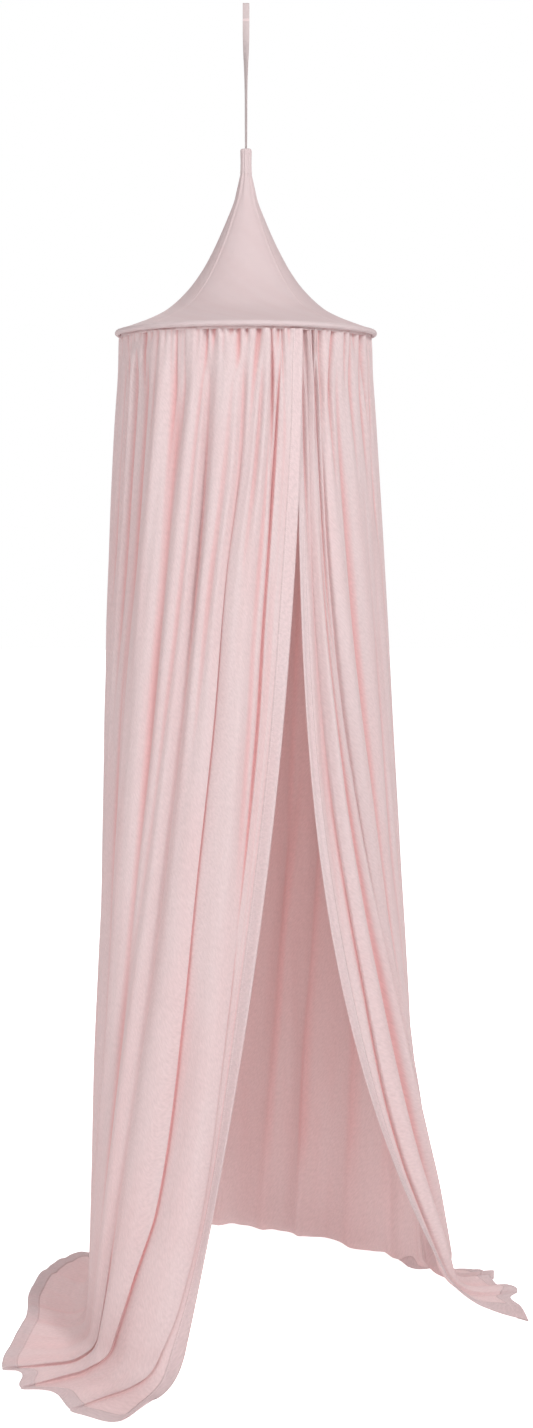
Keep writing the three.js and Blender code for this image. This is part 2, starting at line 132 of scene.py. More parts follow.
@dataclass
class SmoothNoise:
    """Seeded noise over a plane, smooth between the points of a lattice."""

    seed: int
    size: int = 97

    def __post_init__(self) -> None:
        """Draws the lattice."""
        draw = np.random.default_rng(self.seed)
        self.lattice = draw.uniform(-1.0, 1.0, (self.size, self.size))

    def at(self, x: np.ndarray, y: np.ndarray) -> np.ndarray:
        """Noise at the given places, in lattice steps.

        Args:
            x: Places along the first axis.
            y: Places along the second axis.

        Returns:
            Values from -1 to 1.
        """
        i, j = np.floor(x).astype(int), np.floor(y).astype(int)
        a, b = x - i, y - j
        a, b = a * a * (3 - 2 * a), b * b * (3 - 2 * b)
        i0, i1, j0, j1 = i % self.size, (i + 1) % self.size, j % self.size, (j + 1) % self.size
        low = self.lattice[i0, j0] * (1 - a) + self.lattice[i1, j0] * a
        high = self.lattice[i0, j1] * (1 - a) + self.lattice[i1, j1] * a
        return low * (1 - b) + high * b


@dataclass(frozen=True)
class Unevenness:
    """Seeded noise over cloth, with its depth and its lattice steps for the cloth's two places."""

    seed: int
    depth: float
    across: float
    down: float
    slant: float = 0.0
    start: tuple[float, float] = (0.0, 0.0)

    def at(self, across: np.ndarray, down: np.ndarray) -> np.ndarray:
        """Height of the noise.

        Args:
            across: Places across the cloth.
            down: Places down the cloth.

        Returns:
            Values from minus the depth to the depth.
        """
        x = across * self.across + self.start[0] + down * self.slant
        return self.depth * SmoothNoise(self.seed).at(x, down * self.down + self.start[1])


# ---------------------------------------------------------------- shader expressions


class Value:
    """A shader socket that takes part in arithmetic."""

    def __init__(self, tree: bpy.types.NodeTree, socket: bpy.types.NodeSocket) -> None:
        """Wraps a socket of a tree."""
        self.tree = tree
        self.socket = socket

    def math(self, operation: str, *others: "Value | float") -> "Value":
        """A Math node on this value.

        Args:
            operation: The node's operation.
            others: Its other inputs.

        Returns:
            The node's result.
        """
        node = self.tree.nodes.new("ShaderNodeMath")
        node.operation = operation
        for place, entry in zip(node.inputs, (self, *others)):
            if isinstance(entry, Value):
                self.tree.links.new(entry.socket, place)
            else:
                place.default_value = entry
        return Value(self.tree, node.outputs[0])

    def __add__(self, other: "Value | float") -> "Value":
        """Sum."""
        return self.math("ADD", other)

    def __sub__(self, other: "Value | float") -> "Value":
        """Difference."""
        return self.math("SUBTRACT", other)

    def __mul__(self, other: "Value | float") -> "Value":
        """Product."""
        return self.math("MULTIPLY", other)

    def __truediv__(self, other: "Value | float") -> "Value":
        """Quotient."""
        return self.math("DIVIDE", other)

    def sine(self) -> "Value":
        """Sine of the value in radians."""
        return self.math("SINE")


@dataclass(frozen=True)
class Fabric:
    """A woven cotton: its colour, weave and crinkle, with lengths in metres, and the painted shade
    colour that its creases are tinted towards.
    """

    name: str
    colour: tuple[float, float, float]
    through: tuple[float, float, float]
    # Colour of the painted crease shade, which the random patches also tint towards
    painted_shade: tuple[float, float, float]
    thread_pitch: float = 0.0009
    thread_depth: float = 0.00008
    crinkle_width: float = 0.0032
    crinkle_height: float = 0.0085
    crinkle_slant: float = 0.5
    crinkle_depth: float = 0.0006
    crinkle_detail: float = 3.0
    slub_width: float = 0.05
    slub_height: float = 0.012
    slub_detail: float = 2.0
    slub_share: float = 0.15
    light_through: float = 0.24
    rough: float = 0.86
    shine: float = 0.25
    sheen: float = 0.08
    mottle: float = 0.36
    patch_width: float = 0.045
    patch_height: float = 0.3
    patch_level: float = 0.4
    patch_tint: float = 0.45

    def build(self) -> bpy.types.Material:
        """Makes the material, which reads the cloth's UV map in metres and mixes painted crease
        shade into the colour.

        Returns:
            The new material.
        """
        material = bpy.data.materials.new(self.name)
        material.use_nodes = True
        tree = material.node_tree
        tree.nodes.clear()
        new, join = tree.nodes.new, tree.links.new
        place = new("ShaderNodeUVMap")
        place.uv_map = "cloth"
        split = new("ShaderNodeSeparateXYZ")
        join(place.outputs[0], split.inputs[0])
        across, down = Value(tree, split.outputs[0]), Value(tree, split.outputs[1])
        turns = 2 * math.pi / self.thread_pitch
        weave = (across * turns).sine() * (down * turns).sine()
        slanted = across + down * self.crinkle_slant
        crinkle = self._noise(
            tree, slanted / self.crinkle_width, down / self.crinkle_height, self.crinkle_detail)
        slub = self._noise(
            tree, across / self.slub_width, down / self.slub_height, self.slub_detail)
        height = crinkle * self.crinkle_depth + weave * self.thread_depth
        tone = (crinkle - 0.5) * self.mottle + (slub - 0.5) * (self.mottle * self.slub_share) + 1.0
        # Painted shade: the mesh attribute that marks the painted crease shade, with random
        # patches added, mixes the colour towards a darker, more saturated pink
        fold = new("ShaderNodeAttribute")
        fold.attribute_name = "painted_shade"
        shade_and_patch_mix = new("ShaderNodeMix")
        shade_and_patch_mix.data_type = "RGBA"
        shade_and_patch_mix.inputs[6].default_value = (*self.colour, 1.0)
        shade_and_patch_mix.inputs[7].default_value = (*self.painted_shade, 1.0)
        patches = self._noise(tree, across / self.patch_width, down / self.patch_height, 1.0)
        share = Value(tree, fold.outputs["Fac"]) + (patches - self.patch_level) * self.patch_tint
        join(share.socket, shade_and_patch_mix.inputs[0])
        colour = new("ShaderNodeVectorMath")
        colour.operation = "SCALE"
        join(shade_and_patch_mix.outputs[2], colour.inputs[0])
        join(tone.socket, colour.inputs["Scale"])
        bump = new("ShaderNodeBump")
        bump.inputs["Distance"].default_value = 1.0
        join(height.socket, bump.inputs["Height"])
        cloth = new("ShaderNodeBsdfPrincipled")
        cloth.inputs["Roughness"].default_value = self.rough
        cloth.inputs["Specular IOR Level"].default_value = self.shine
        cloth.inputs["Sheen Weight"].default_value = self.sheen
        join(colour.outputs[0], cloth.inputs["Base Color"])
        join(bump.outputs[0], cloth.inputs["Normal"])
        through = new("ShaderNodeBsdfTranslucent")
        through.inputs["Color"].default_value = (*self.through, 1.0)
        join(bump.outputs[0], through.inputs["Normal"])
        mix = new("ShaderNodeMixShader")
        mix.inputs[0].default_value = self.light_through
        join(cloth.outputs[0], mix.inputs[1])
        join(through.outputs[0], mix.inputs[2])
        out = new("ShaderNodeOutputMaterial")
        join(mix.outputs[0], out.inputs[0])
        return material

    @staticmethod
    def _noise(tree: bpy.types.NodeTree, x: Value, y: Value, detail: float) -> Value:
        """Noise over two values.

        Args:
            tree: The material's tree.
            x: First value.
            y: Second value.
            detail: How many finer layers it has.

        Returns:
            The noise, from 0 to 1.
        """
        join = tree.nodes.new("ShaderNodeCombineXYZ")
        tree.links.new(x.socket, join.inputs[0])
        tree.links.new(y.socket, join.inputs[1])
        noise = tree.nodes.new("ShaderNodeTexNoise")
        noise.inputs["Scale"].default_value = 1.0
        noise.inputs["Detail"].default_value = detail
        tree.links.new(join.outputs[0], noise.inputs["Vector"])
        return Value(tree, noise.outputs[0])


@dataclass(frozen=True)
class Plain:
    """A plain finish without a pattern, such as metal or thread."""

    name: str
    colour: tuple[float, float, float]
    rough: float
    metal: float = 0.0

    def build(self) -> bpy.types.Material:
        """Makes the material.

        Returns:
            The new material.
        """
        material = bpy.data.materials.new(self.name)
        material.use_nodes = True
        shader = material.node_tree.nodes["Principled BSDF"]
        shader.inputs["Base Color"].default_value = (*self.colour, 1.0)
        shader.inputs["Roughness"].default_value = self.rough
        shader.inputs["Metallic"].default_value = self.metal
        return material


@dataclass(frozen=True)
class Finishes:
    """Every material of the canopy, built once."""

    curtain: bpy.types.Material
    hem: bpy.types.Material
    cone: bpy.types.Material
    tape: bpy.types.Material
    thread: bpy.types.Material
    wire: bpy.types.Material

    @classmethod
    def build(cls) -> "Finishes":
        """Builds the materials.

        Returns:
            The set of them.
        """
        # glow is the colour of light through the cloth; the second colour is the painted crease
        # shade
        glow, painted_crease_shade = (0.88, 0.5, 0.48), (0.82, 0.46, 0.46)
        curtain = Fabric("curtain cotton", (0.8, 0.69, 0.695), glow, painted_crease_shade)
        hem = Fabric("hem cotton", (0.72, 0.575, 0.58), glow, painted_crease_shade, light_through=0.05)
        cone = Fabric(
            "cone cotton", (0.7, 0.58, 0.585), (0.66, 0.42, 0.41), (0.6, 0.42, 0.42),
            thread_pitch=0.0006, thread_depth=0.00002, crinkle_width=0.02, crinkle_height=0.02,
            crinkle_depth=0.0002, light_through=0.15, mottle=0.05)
        tape = Fabric(
            "tape cotton", (0.62, 0.525, 0.525), (0.62, 0.4, 0.39), (0.53, 0.4, 0.39),
            thread_pitch=0.0012, thread_depth=0.00015, crinkle_width=0.003, crinkle_height=0.003,
            crinkle_depth=0.00005, light_through=0.05, mottle=0.08)
        thread = Plain("sewing thread", (0.86, 0.72, 0.72), 0.7)
        wire = Plain("hoop wire", (0.72, 0.73, 0.72), 0.35, 1.0)
        return cls(*(finish.build() for finish in (curtain, hem, cone, tape, thread, wire)))


# ---------------------------------------------------------------- mesh building


def make_sheet(
    name: str, points: np.ndarray, cloth: np.ndarray, material: bpy.types.Material,
    loop_rows: bool = False, loop_columns: bool = False,
) -> bpy.types.Object:
    """Makes an object from a grid of points, with a UV map in metres of cloth.

    Args:
        name: The object's name.
        points: Vertex positions, by row and column.
        cloth: Place in the cloth of each vertex, in metres, by row and column.
        material: Its material.
        loop_rows: Whether the last row joins the first.
        loop_columns: Whether the last column joins the first.

    Returns:
        The new object.
    """
    rows, columns = points.shape[:2]
    i = np.arange(rows if loop_rows else rows - 1)
    j = np.arange(columns if loop_columns else columns - 1)
    i, j = np.meshgrid(i, j, indexing="ij")
    next_i, next_j = (i + 1) % rows * columns, (j + 1) % columns
    quads = np.stack([i * columns + j, next_i + j, next_i + next_j, i * columns + next_j], axis=-1)
    mesh = bpy.data.meshes.new(name)
    mesh.from_pydata(points.reshape(-1, 3).tolist(), [], quads.reshape(-1, 4).tolist())
    mesh.update()
    layer = mesh.uv_layers.new(name="cloth")
    corners = np.zeros(len(mesh.loops), dtype=np.int32)
    mesh.loops.foreach_get("vertex_index", corners)
    layer.data.foreach_set("uv", cloth.reshape(-1, 2)[corners].astype(np.float32).ravel())
    mesh.polygons.foreach_set("use_smooth", np.ones(len(mesh.polygons), dtype=bool))
    mesh.materials.append(material)
    thing = bpy.data.objects.new(name, mesh)
    bpy.context.scene.collection.objects.link(thing)
    return thing


def round_grid(count: int, rows: int) -> tuple[np.ndarray, np.ndarray]:
    """Turns and row numbers of a grid that goes once round the axis.

    Args:
        count: How many columns go round.
        rows: How many rows.

    Returns:
        The turn, from 0 to 1, and the row of each point.
    """
    turns = np.linspace(0, 1, count, endpoint=False)
    turn, row = np.meshgrid(turns, np.arange(rows), indexing="ij")
    return turn, row


def round_points(
    radius: np.ndarray | float, angle: np.ndarray, level: np.ndarray | float,
) -> np.ndarray:
    """Points round the axis.

    Args:
        radius: Distances from the axis.
        angle: Angles round it, in radians.
        level: Heights.

    Returns:
        The points.
    """
    places = np.broadcast_arrays(radius * np.cos(angle), radius * np.sin(angle), level)
    return np.stack(places, axis=-1)


def ring(radius: float, level: float, count: int) -> np.ndarray:
    """A closed level line of points round the axis."""
    return round_points(radius, np.linspace(0, 2 * math.pi, count), level)


def stitches(
    name: str,
    runs: list[np.ndarray],
    material: bpy.types.Material,
    pitch: float = 0.0034,
    length: float = 0.0026,
    radius: float = 0.00035,
) -> bpy.types.Object:
    """A run of stitches along lines, made with geometry nodes and then turned into a plain mesh.

    Args:
        name: The object's name.
        runs: The lines, each an array of points.
        material: The thread's material.
        pitch: Distance from stitch to stitch.
        length: Length of a stitch.
        radius: Radius of the thread.

    Returns:
        The stitches as one mesh object.
    """
    points, edges = [], []
    for run in runs:
        first = len(points)
        points.extend(run.tolist())
        edges.extend((first + k, first + k + 1) for k in range(len(run) - 1))
    line = bpy.data.meshes.new(name + "_line")
    line.from_pydata(points, edges, [])
    thing = bpy.data.objects.new(name, line)
    bpy.context.scene.collection.objects.link(thing)
    tree = bpy.data.node_groups.new(name, "GeometryNodeTree")
    tree.interface.new_socket("Geometry", in_out="INPUT", socket_type="NodeSocketGeometry")
    tree.interface.new_socket("Geometry", in_out="OUTPUT", socket_type="NodeSocketGeometry")
    new, join = tree.nodes.new, tree.links.new
    source, result = new("NodeGroupInput"), new("NodeGroupOutput")
    curve, spaced = new("GeometryNodeMeshToCurve"), new("GeometryNodeResampleCurve")
    spaced.mode = "LENGTH"
    spaced.inputs["Length"].default_value = pitch
    stitch = new("GeometryNodeMeshUVSphere")
    stitch.inputs["Segments"].default_value = 6
    stitch.inputs["Rings"].default_value = 4
    stitch.inputs["Radius"].default_value = 1.0
    shape = new("GeometryNodeTransform")
    shape.inputs["Scale"].default_value = (radius, radius, length / 2)
    tangent, turn = new("GeometryNodeInputTangent"), new("FunctionNodeAlignRotationToVector")
    turn.axis = "Z"
    place, real = new("GeometryNodeInstanceOnPoints"), new("GeometryNodeRealizeInstances")
    paint = new("GeometryNodeSetMaterial")
    paint.inputs["Material"].default_value = material
    join(source.outputs[0], curve.inputs[0])
    join(curve.outputs[0], spaced.inputs[0])
    join(spaced.outputs[0], place.inputs["Points"])
    join(stitch.outputs[0], shape.inputs[0])
    join(shape.outputs[0], place.inputs["Instance"])
    join(tangent.outputs[0], turn.inputs["Vector"])
    join(turn.outputs[0], place.inputs["Rotation"])
    join(place.outputs[0], real.inputs[0])
    join(real.outputs[0], paint.inputs["Geometry"])
    join(paint.outputs[0], result.inputs[0])
    modifier = thing.modifiers.new("stitches", "NODES")
    modifier.node_group = tree
    bpy.context.view_layer.update()
    shown = thing.evaluated_get(bpy.context.evaluated_depsgraph_get())
    mesh = bpy.data.meshes.new_from_object(shown)
    thing.modifiers.clear()
    thing.data = mesh
    mesh.polygons.foreach_set("use_smooth", np.ones(len(mesh.polygons), dtype=bool))
    if not mesh.materials:
        mesh.materials.append(material)
    return thing


# ---------------------------------------------------------------- the tape


@dataclass
class Tape:
    """The looped tape that hangs the canopy, with its stitched bar."""

    finishes: Finishes
    width: float = 0.013
    thickness: float = 0.0011
    ply_gap: float = 0.0005
    eye_radius: float = 0.005
    eye_height: float = 0.030
    tail_level: float = -0.318
    bend_start: float = -0.040
    bend_end: float = -0.270
    leg_points: int = 90
    eye_points: int = 13
    edge_points: int = 5
    corner_share: float = 0.8
    # How far it has turned by each distance under the hook, and the bar of stitches
    twist_levels: tuple[float, ...] = (
        0.030, 0.055, 0.085, 0.115, 0.145, 0.175, 0.250, 0.284, 0.320)
    twist_degrees: tuple[float, ...] = (0.0, 12.0, 34.0, 56.0, 70.0, 77.0, 79.0, 82.0, 88.0)
    tack_levels: tuple[float, ...] = (-0.0305, -0.0322, -0.0338)
    tack_points: int = 27
    tack_margin: float = 0.0006
    tack_lift: float = 0.0002
    zigzag: float = 0.0006

    def _line(self) -> np.ndarray:
        """The closed line of the tape's middle.

        Returns:
            Rows of side and height.
        """
        offset = (self.ply_gap + self.thickness) / 2
        loop = self.eye_radius + self.thickness / 2
        heights = np.linspace(self.tail_level, -self.eye_height, self.leg_points)
        line = [(-offset, z) for z in heights]
        for share in np.linspace(0, 1, self.eye_points)[1:]:
            spread = float(smooth_step(np.array(share), 0, 1))
            z = -self.eye_height + (self.eye_height - self.eye_radius) * share
            line.append((-offset - (loop - offset) * spread, z))
        for angle in np.linspace(math.pi, math.pi / 2, self.eye_points)[1:]:
            line.append((loop * math.cos(angle), -self.eye_radius + loop * math.sin(angle)))
        fold = [
            (offset * math.cos(a), self.tail_level + offset * math.sin(a))
            for a in np.linspace(math.pi * 1.5, math.pi, self.edge_points)[:-1]
        ]
        half = fold + line
        back = [(-x, z) for x, z in half[-2:0:-1]]
        return np.array(half + back)

    def build(self) -> None:
        """Builds the tape and the stitched bar under its eye."""
        line = self._line()
        count = len(line)
        along = np.roll(line, -1, axis=0) - np.roll(line, 1, axis=0)
        along /= np.linalg.norm(along, axis=1)[:, None]
        turn = np.radians(90 - np.interp(-line[:, 1], self.twist_levels, self.twist_degrees))
        across = np.stack([np.cos(turn), np.sin(turn), np.zeros(count)], axis=1)
        wide = np.stack([-np.sin(turn), np.cos(turn), np.zeros(count)], axis=1)
        centre = across * line[:, :1] + np.outer(line[:, 1], (0, 0, 1))
        thick = across * along[:, 1:2] - np.outer(along[:, 0], (0, 0, 1))
        half_wide, half_thick = self.width / 2, self.thickness / 2
        corner = half_thick * self.corner_share
        outline = np.array([
            (side * (half_wide - corner) + corner * math.cos(angle), half_thick * math.sin(angle))
            for side, first in ((1, -90), (-1, 90))
            for angle in np.radians(np.linspace(first, first + 180, self.edge_points))])
        points = (
            centre[:, None, :]
            + wide[:, None, :] * outline[None, :, :1]
            + thick[:, None, :] * outline[None, :, 1:2])
        steps = np.linalg.norm(np.diff(line, axis=0), axis=1)
        steps = np.concatenate([[0], np.cumsum(steps)])
        cloth = np.stack(np.broadcast_arrays(outline[None, :, 0], steps[:, None]), axis=-1)
        tape = make_sheet("hanging_tape", points, cloth, self.finishes.tape, True, True)
        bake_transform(tape)
        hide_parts("tape_upper", "tape_lower")
        log.info("hanging tape: %d vertices", len(tape.data.vertices))
        self._tack()

    def _tack(self) -> None:
        """Builds the bar of zigzag stitches that joins the plies under the eye."""
        face = self.thickness + self.ply_gap / 2 + self.tack_lift
        reach = self.width / 2 - self.tack_margin
        x = np.linspace(-reach, reach, self.tack_points)
        zigzag = np.where(np.arange(self.tack_points) % 2 == 0, self.zigzag, -self.zigzag)
        runs = [
            np.stack(np.broadcast_arrays(x, side * face, level + zigzag), axis=1)
            for side in (-1, 1) for level in self.tack_levels]
        thread = self.finishes.thread
        tack = stitches(
            "loop_tack_stitches", runs, thread, pitch=0.0011, length=0.0014, radius=0.0003)
        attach(tack, Body.STRAP.value)
        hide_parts("loop_tack")
        log.info("loop tack: %d vertices", len(tack.data.vertices))


# ---------------------------------------------------------------- the crown


@dataclass
class Crown:
    """The neck, the cone, the rim's casing and the band inside it."""

    finishes: Finishes
    # The cone: its flat cloth, gores, pleats under the neck, unevenness and flare
    columns: int = 360
    rows: int = 120
    cloth_round: float = 1.57
    cloth_slope: float = 0.45
    start_step: float = 0.0006
    foot_share: float = 0.9
    gore_seam_angle: float = -45.0
    gore_count: int = 4
    gore_flatness: float = 0.1
    flat_rise: float = 0.25
    flat_fade: float = 0.4
    ridge_height: float = 0.0006
    ridge_width: float = 0.0022
    furrow_depth: float = 0.0007
    furrow_place: float = 0.005
    furrow_width: float = 0.003
    pleat_count: int = 14
    pleat_sway: float = 1.5
    pleat_depth: float = 0.0007
    pleat_end: float = 0.32
    slack: Unevenness = Unevenness(11, 0.0011, 9, 3.0, 1.5, (3, 0))
    slack_rise: tuple[float, float] = (0.15, 0.5)
    tug: Unevenness = Unevenness(11, 0.0006, 70, 2.5, 2, (20, 9))
    tug_rise: tuple[float, float] = (0.72, 0.98)
    profile: SmoothTable = SmoothTable((
        (0, 0), (0.056, 0.016), (0.117, 0.035), (0.179, 0.056), (0.276, 0.106), (0.394, 0.172),
        (0.512, 0.247), (0.63, 0.334), (0.747, 0.445), (0.864, 0.604), (0.926, 0.752), (1, 1)))
    # The stitches beside the cone's seams
    seam_points: int = 90
    seam_ends: tuple[float, float] = (0.03, 0.985)
    seam_away: float = 0.0032
    seam_lift: float = 0.0002
    # The neck
    neck_columns: int = 120
    neck_rows: int = 60
    neck_pleat_depth: float = 0.0006
    neck_tilt: float = 0.0022
    neck_tilt_rows: int = 14
    neck_cloth: tuple[float, float] = (0.066, 0.05)
    neck_outline: tuple[tuple[float, float], ...] = (
        (0.0062, -0.2905), (0.0074, -0.2858), (0.0086, -0.2842), (0.0098, -0.2848),
        (0.0107, -0.288), (0.0105, -0.296), (0.0102, -0.306), (0.0102, -0.316), (0.0104, -0.324),
        (0.0107, -0.3285), (0.0110, -0.3315), (0.0107, -0.334))
    neck_stitch_radius: float = 0.0112
    neck_stitch_levels: tuple[float, float] = (-0.3285, -0.2925)
    neck_stitch_points: int = 60
    # The casing round the hoop
    casing_columns: int = 720
    casing_sides: int = 22
    casing_gap: float = 0.0001
    casing_cloth: float = 0.034
    pucker: Unevenness = Unevenness(5, 0.0003, 194, 0.8)
    groove_angle: float = 300.0
    groove_depth: float = 0.0008
    groove_width: float = 0.22
    casing_stitches: tuple[tuple[float, float], ...] = ((300, -0.0005), (60, 0.0001))
    casing_points: int = 400
    # The band inside it
    band_columns: int = 1080
    band_rows: int = 9
    band_gap: float = 0.0012
    band_top: float = -0.6415
    band_height: float = 0.0145
    band_cloth: float = 0.0018
    band_folds: tuple[Unevenness, Unevenness] = (
        Unevenness(23, 0.0009, 194, 0.1), Unevenness(23, 0.0004, 388, 0.2, start=(0, 5)))

    def _pleats(self, angle: np.ndarray) -> np.ndarray:
        """The small pleats round the neck, from -1 to 1."""
        return np.sin(angle * self.pleat_count + self.pleat_sway * np.sin(angle * 2))

    def cone_point(self, turn: np.ndarray, drop: np.ndarray, lift: float = 0.0) -> np.ndarray:
        """Points of the cone's cloth.

        Args:
            turn: Place round the axis, in turns.
            drop: Place from the neck, 0, to the rim, 1.
            lift: Distance to stand off the cloth.

        Returns:
            The points.
        """
        spread = (HOOP_RADIUS - NECK_RADIUS) * self.profile.at(np.clip(drop, 0, 1))[..., 0]
        radius = NECK_RADIUS - self.start_step + spread
        foot = RIM_LEVEL + CASING_RADIUS * self.foot_share
        level = NECK_BOTTOM + (foot - NECK_BOTTOM) * drop
        seam = (turn - self.gore_seam_angle / 360) * self.gore_count
        off_seam = np.abs(seam - np.round(seam))
        from_seam = off_seam / self.gore_count * 2 * math.pi * radius
        ridge = self.ridge_height * bell(from_seam, self.ridge_width)
        furrow = -self.furrow_depth * bell(from_seam - self.furrow_place, self.furrow_width)
        angle = turn * 2 * math.pi
        gore_half = math.pi / self.gore_count
        chord = 1 - math.cos(gore_half) / np.cos((0.5 - off_seam) * 2 * gore_half)
        flat = self.gore_flatness * chord * smooth_step(drop, 0, self.flat_rise)
        flat = flat * smooth_step(1 - drop, 0, self.flat_fade)
        neck_share = smooth_step(self.pleat_end - drop, 0, self.pleat_end)
        pleats = self.pleat_depth * self._pleats(angle) * neck_share
        slack = self.slack.at(turn, drop) * smooth_step(drop, *self.slack_rise)
        tug = self.tug.at(turn, drop) * smooth_step(drop, *self.tug_rise)
        radius = radius * (1 - flat) + ridge + furrow + pleats + slack + tug + lift
        return round_points(radius, angle, level)

    def build(self) -> None:
        """Builds the crown's pieces."""
        self._cone()
        self._neck()
        self._rim()
        self._band()
        for name in ("hoop_ring", "hoop_ferrule"):
            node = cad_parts[name]
            node.data.materials.clear()
            node.data.materials.append(self.finishes.wire)

    def _cone(self) -> None:
        """Builds the cone's cloth and its seams."""
        turn, row = round_grid(self.columns, self.rows)
        drop = np.linspace(0, 1, self.rows)[row]
        points = self.cone_point(turn, drop)
        around = (turn - np.round(turn)) * 2 * math.pi * np.hypot(points[..., 0], points[..., 1])
        cloth = np.stack([around, drop * self.cloth_slope], axis=-1)
        cone = make_sheet("cone_cloth", points, cloth, self.finishes.cone, loop_rows=True)
        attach(cone, Body.CROWN.value)
        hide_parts(*(f"cone_gore_{i + 1}" for i in range(self.gore_count)))
        down = np.linspace(*self.seam_ends, self.seam_points)
        radius = NECK_RADIUS + HOOP_RADIUS * self.profile.at(down)[..., 0]
        runs = []
        for i in range(self.gore_count):
            start = self.gore_seam_angle / 360 + i / self.gore_count
            for side in (-1, 1):
                turn_line = start + side * self.seam_away / (2 * math.pi * radius)
                runs.append(self.cone_point(turn_line, down, self.seam_lift))
        thread = self.finishes.thread
        seams = stitches(
            "cone_seam_stitches", runs, thread, pitch=0.0032, length=0.0022, radius=0.00018)
        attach(seams, Body.CROWN.value)
        log.info("cone: %d vertices", len(cone.data.vertices))

    def _neck(self) -> None:
        """Builds the gathered sleeve that grips the tape."""
        place = np.linspace(0, 1, self.neck_rows)
        marks = np.linspace(0, 1, len(self.neck_outline))
        radii, levels = (np.interp(place, marks, line) for line in np.array(self.neck_outline).T)
        turn, row = round_grid(self.neck_columns, self.neck_rows)
        angle = turn * 2 * math.pi
        radius = radii[row] + self.neck_pleat_depth * self._pleats(angle)
        tilt = smooth_step(-row.astype(float), -self.neck_tilt_rows, 0)
        level = levels[row] + self.neck_tilt * np.cos(angle) * tilt
        wide, high = self.neck_cloth
        cloth = np.stack([(turn - 0.5) * wide, place[row] * high], axis=-1)
        points = round_points(radius, angle, level)
        neck = make_sheet("neck_sleeve_cloth", points, cloth, self.finishes.cone, loop_rows=True)
        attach(neck, Body.CROWN.value)
        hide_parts("neck_sleeve")
        rings = [
            ring(self.neck_stitch_radius, level, self.neck_stitch_points)
            for level in self.neck_stitch_levels]
        thread = self.finishes.thread
        sewn = stitches("neck_stitches", rings, thread, pitch=0.0032, length=0.0022, radius=0.0002)
        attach(sewn, Body.CROWN.value)
        log.info("neck: %d vertices", len(neck.data.vertices))

    def _rim(self) -> None:
        """Builds the casing round the hoop."""
        turn, side = round_grid(self.casing_columns, self.casing_sides)
        around = side / self.casing_sides * 2 * math.pi
        away = around - math.radians(self.groove_angle)
        groove = self.groove_depth * bell(away, self.groove_width)
        small = CASING_RADIUS - self.casing_gap + self.pucker.at(turn, side) - groove
        points = round_points(
            HOOP_RADIUS + small * np.cos(around), turn * 2 * math.pi,
            RIM_LEVEL + small * np.sin(around))
        around_cloth = np.abs(side / self.casing_sides - 0.5) * self.casing_cloth
        cloth = np.stack([(turn - np.round(turn)) * self.cloth_round, around_cloth], axis=-1)
        casing = make_sheet("rim_casing_cloth", points, cloth, self.finishes.cone, True, True)
        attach(casing, Body.CROWN.value)
        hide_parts("rim_casing")
        runs = []
        for direction, lift in self.casing_stitches:
            lean, reach = math.radians(direction), CASING_RADIUS + lift
            runs.append(ring(
                HOOP_RADIUS + reach * math.cos(lean), RIM_LEVEL + reach * math.sin(lean),
                self.casing_points))
        thread = self.finishes.thread
        sewn = stitches("rim_stitches", runs, thread, pitch=0.0034, length=0.0024, radius=0.00022)
        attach(sewn, Body.CROWN.value)
        log.info("rim casing: %d vertices", len(casing.data.vertices))

    def _band(self) -> None:
        """Builds the gathered band that the curtain's top is sewn to, inside the casing."""
        turn, row = round_grid(self.band_columns, self.band_rows)
        broad, fine = (fold.at(turn, row) for fold in self.band_folds)
        radius = CURTAIN_RADIUS - self.band_gap + (broad + fine)
        level = self.band_top - row / (self.band_rows - 1) * self.band_height
        points = round_points(radius, turn * 2 * math.pi, level)
        around = (turn - np.round(turn)) * self.cloth_round
        cloth = np.stack([around, row * self.band_cloth], axis=-1)
        band = make_sheet("heading_band", points, cloth, self.finishes.curtain, loop_rows=True)
        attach(band, Body.CROWN.value)
        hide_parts("heading_tape")
        log.info("heading band: %d vertices", len(band.data.vertices))


# ---------------------------------------------------------------- the curtain


@dataclass(frozen=True)
class Panel:
    """One panel of the curtain, between two thread numbers, and its end that has an edge hem."""

    name: str
    start: float
    end: float
    columns: int
    body: Body
    edge: str = ""


@dataclass(frozen=True)
class Pleat:
    """A fold that laps over its neighbour along a crease, or under it where its rise is negative.

    The crease has one number in the curtain's own count. Its line says which thread it runs along
    at each drop, and its rise how far the lip stands off there.
    """

    number: float
    side: int
    line: tuple[tuple[float, float], ...]
    rise: tuple[tuple[float, float], ...]
    fade: float = 0.016
    turn: float = 0.0016
    tuck: float = 0.25
    tuck_width: float = 0.005

    def height(self, drop: np.ndarray) -> np.ndarray:
        """Rise of the lip at places from rim to hem, in metres."""
        return np.interp(drop, *np.array(self.rise).T)

    def raised(self, number: np.ndarray, drop: np.ndarray) -> tuple[np.ndarray, np.ndarray]:
        """How the pleat lifts the cloth.

        Args:
            number: Numbers in the curtain's count.
            drop: Places from rim to hem.

        Returns:
            The lift in metres, and the share of it by which the lip reaches over the crease.
        """
        beyond = self.side * (number - self.number)
        over = smooth_step(beyond, 0, self.turn) * np.exp(-np.maximum(beyond, 0) / self.fade)
        under = -self.tuck * bell(np.minimum(beyond, 0), self.tuck_width) * (beyond <= 0)
        height = self.height(drop)
        return height * (over + under), np.maximum(height, 0) * over

    def shift(self, drop: np.ndarray) -> np.ndarray:
        """How far the crease's thread is from its number."""
        return SmoothTable(self.line).at(np.asarray(drop, float))[..., 0] - self.number


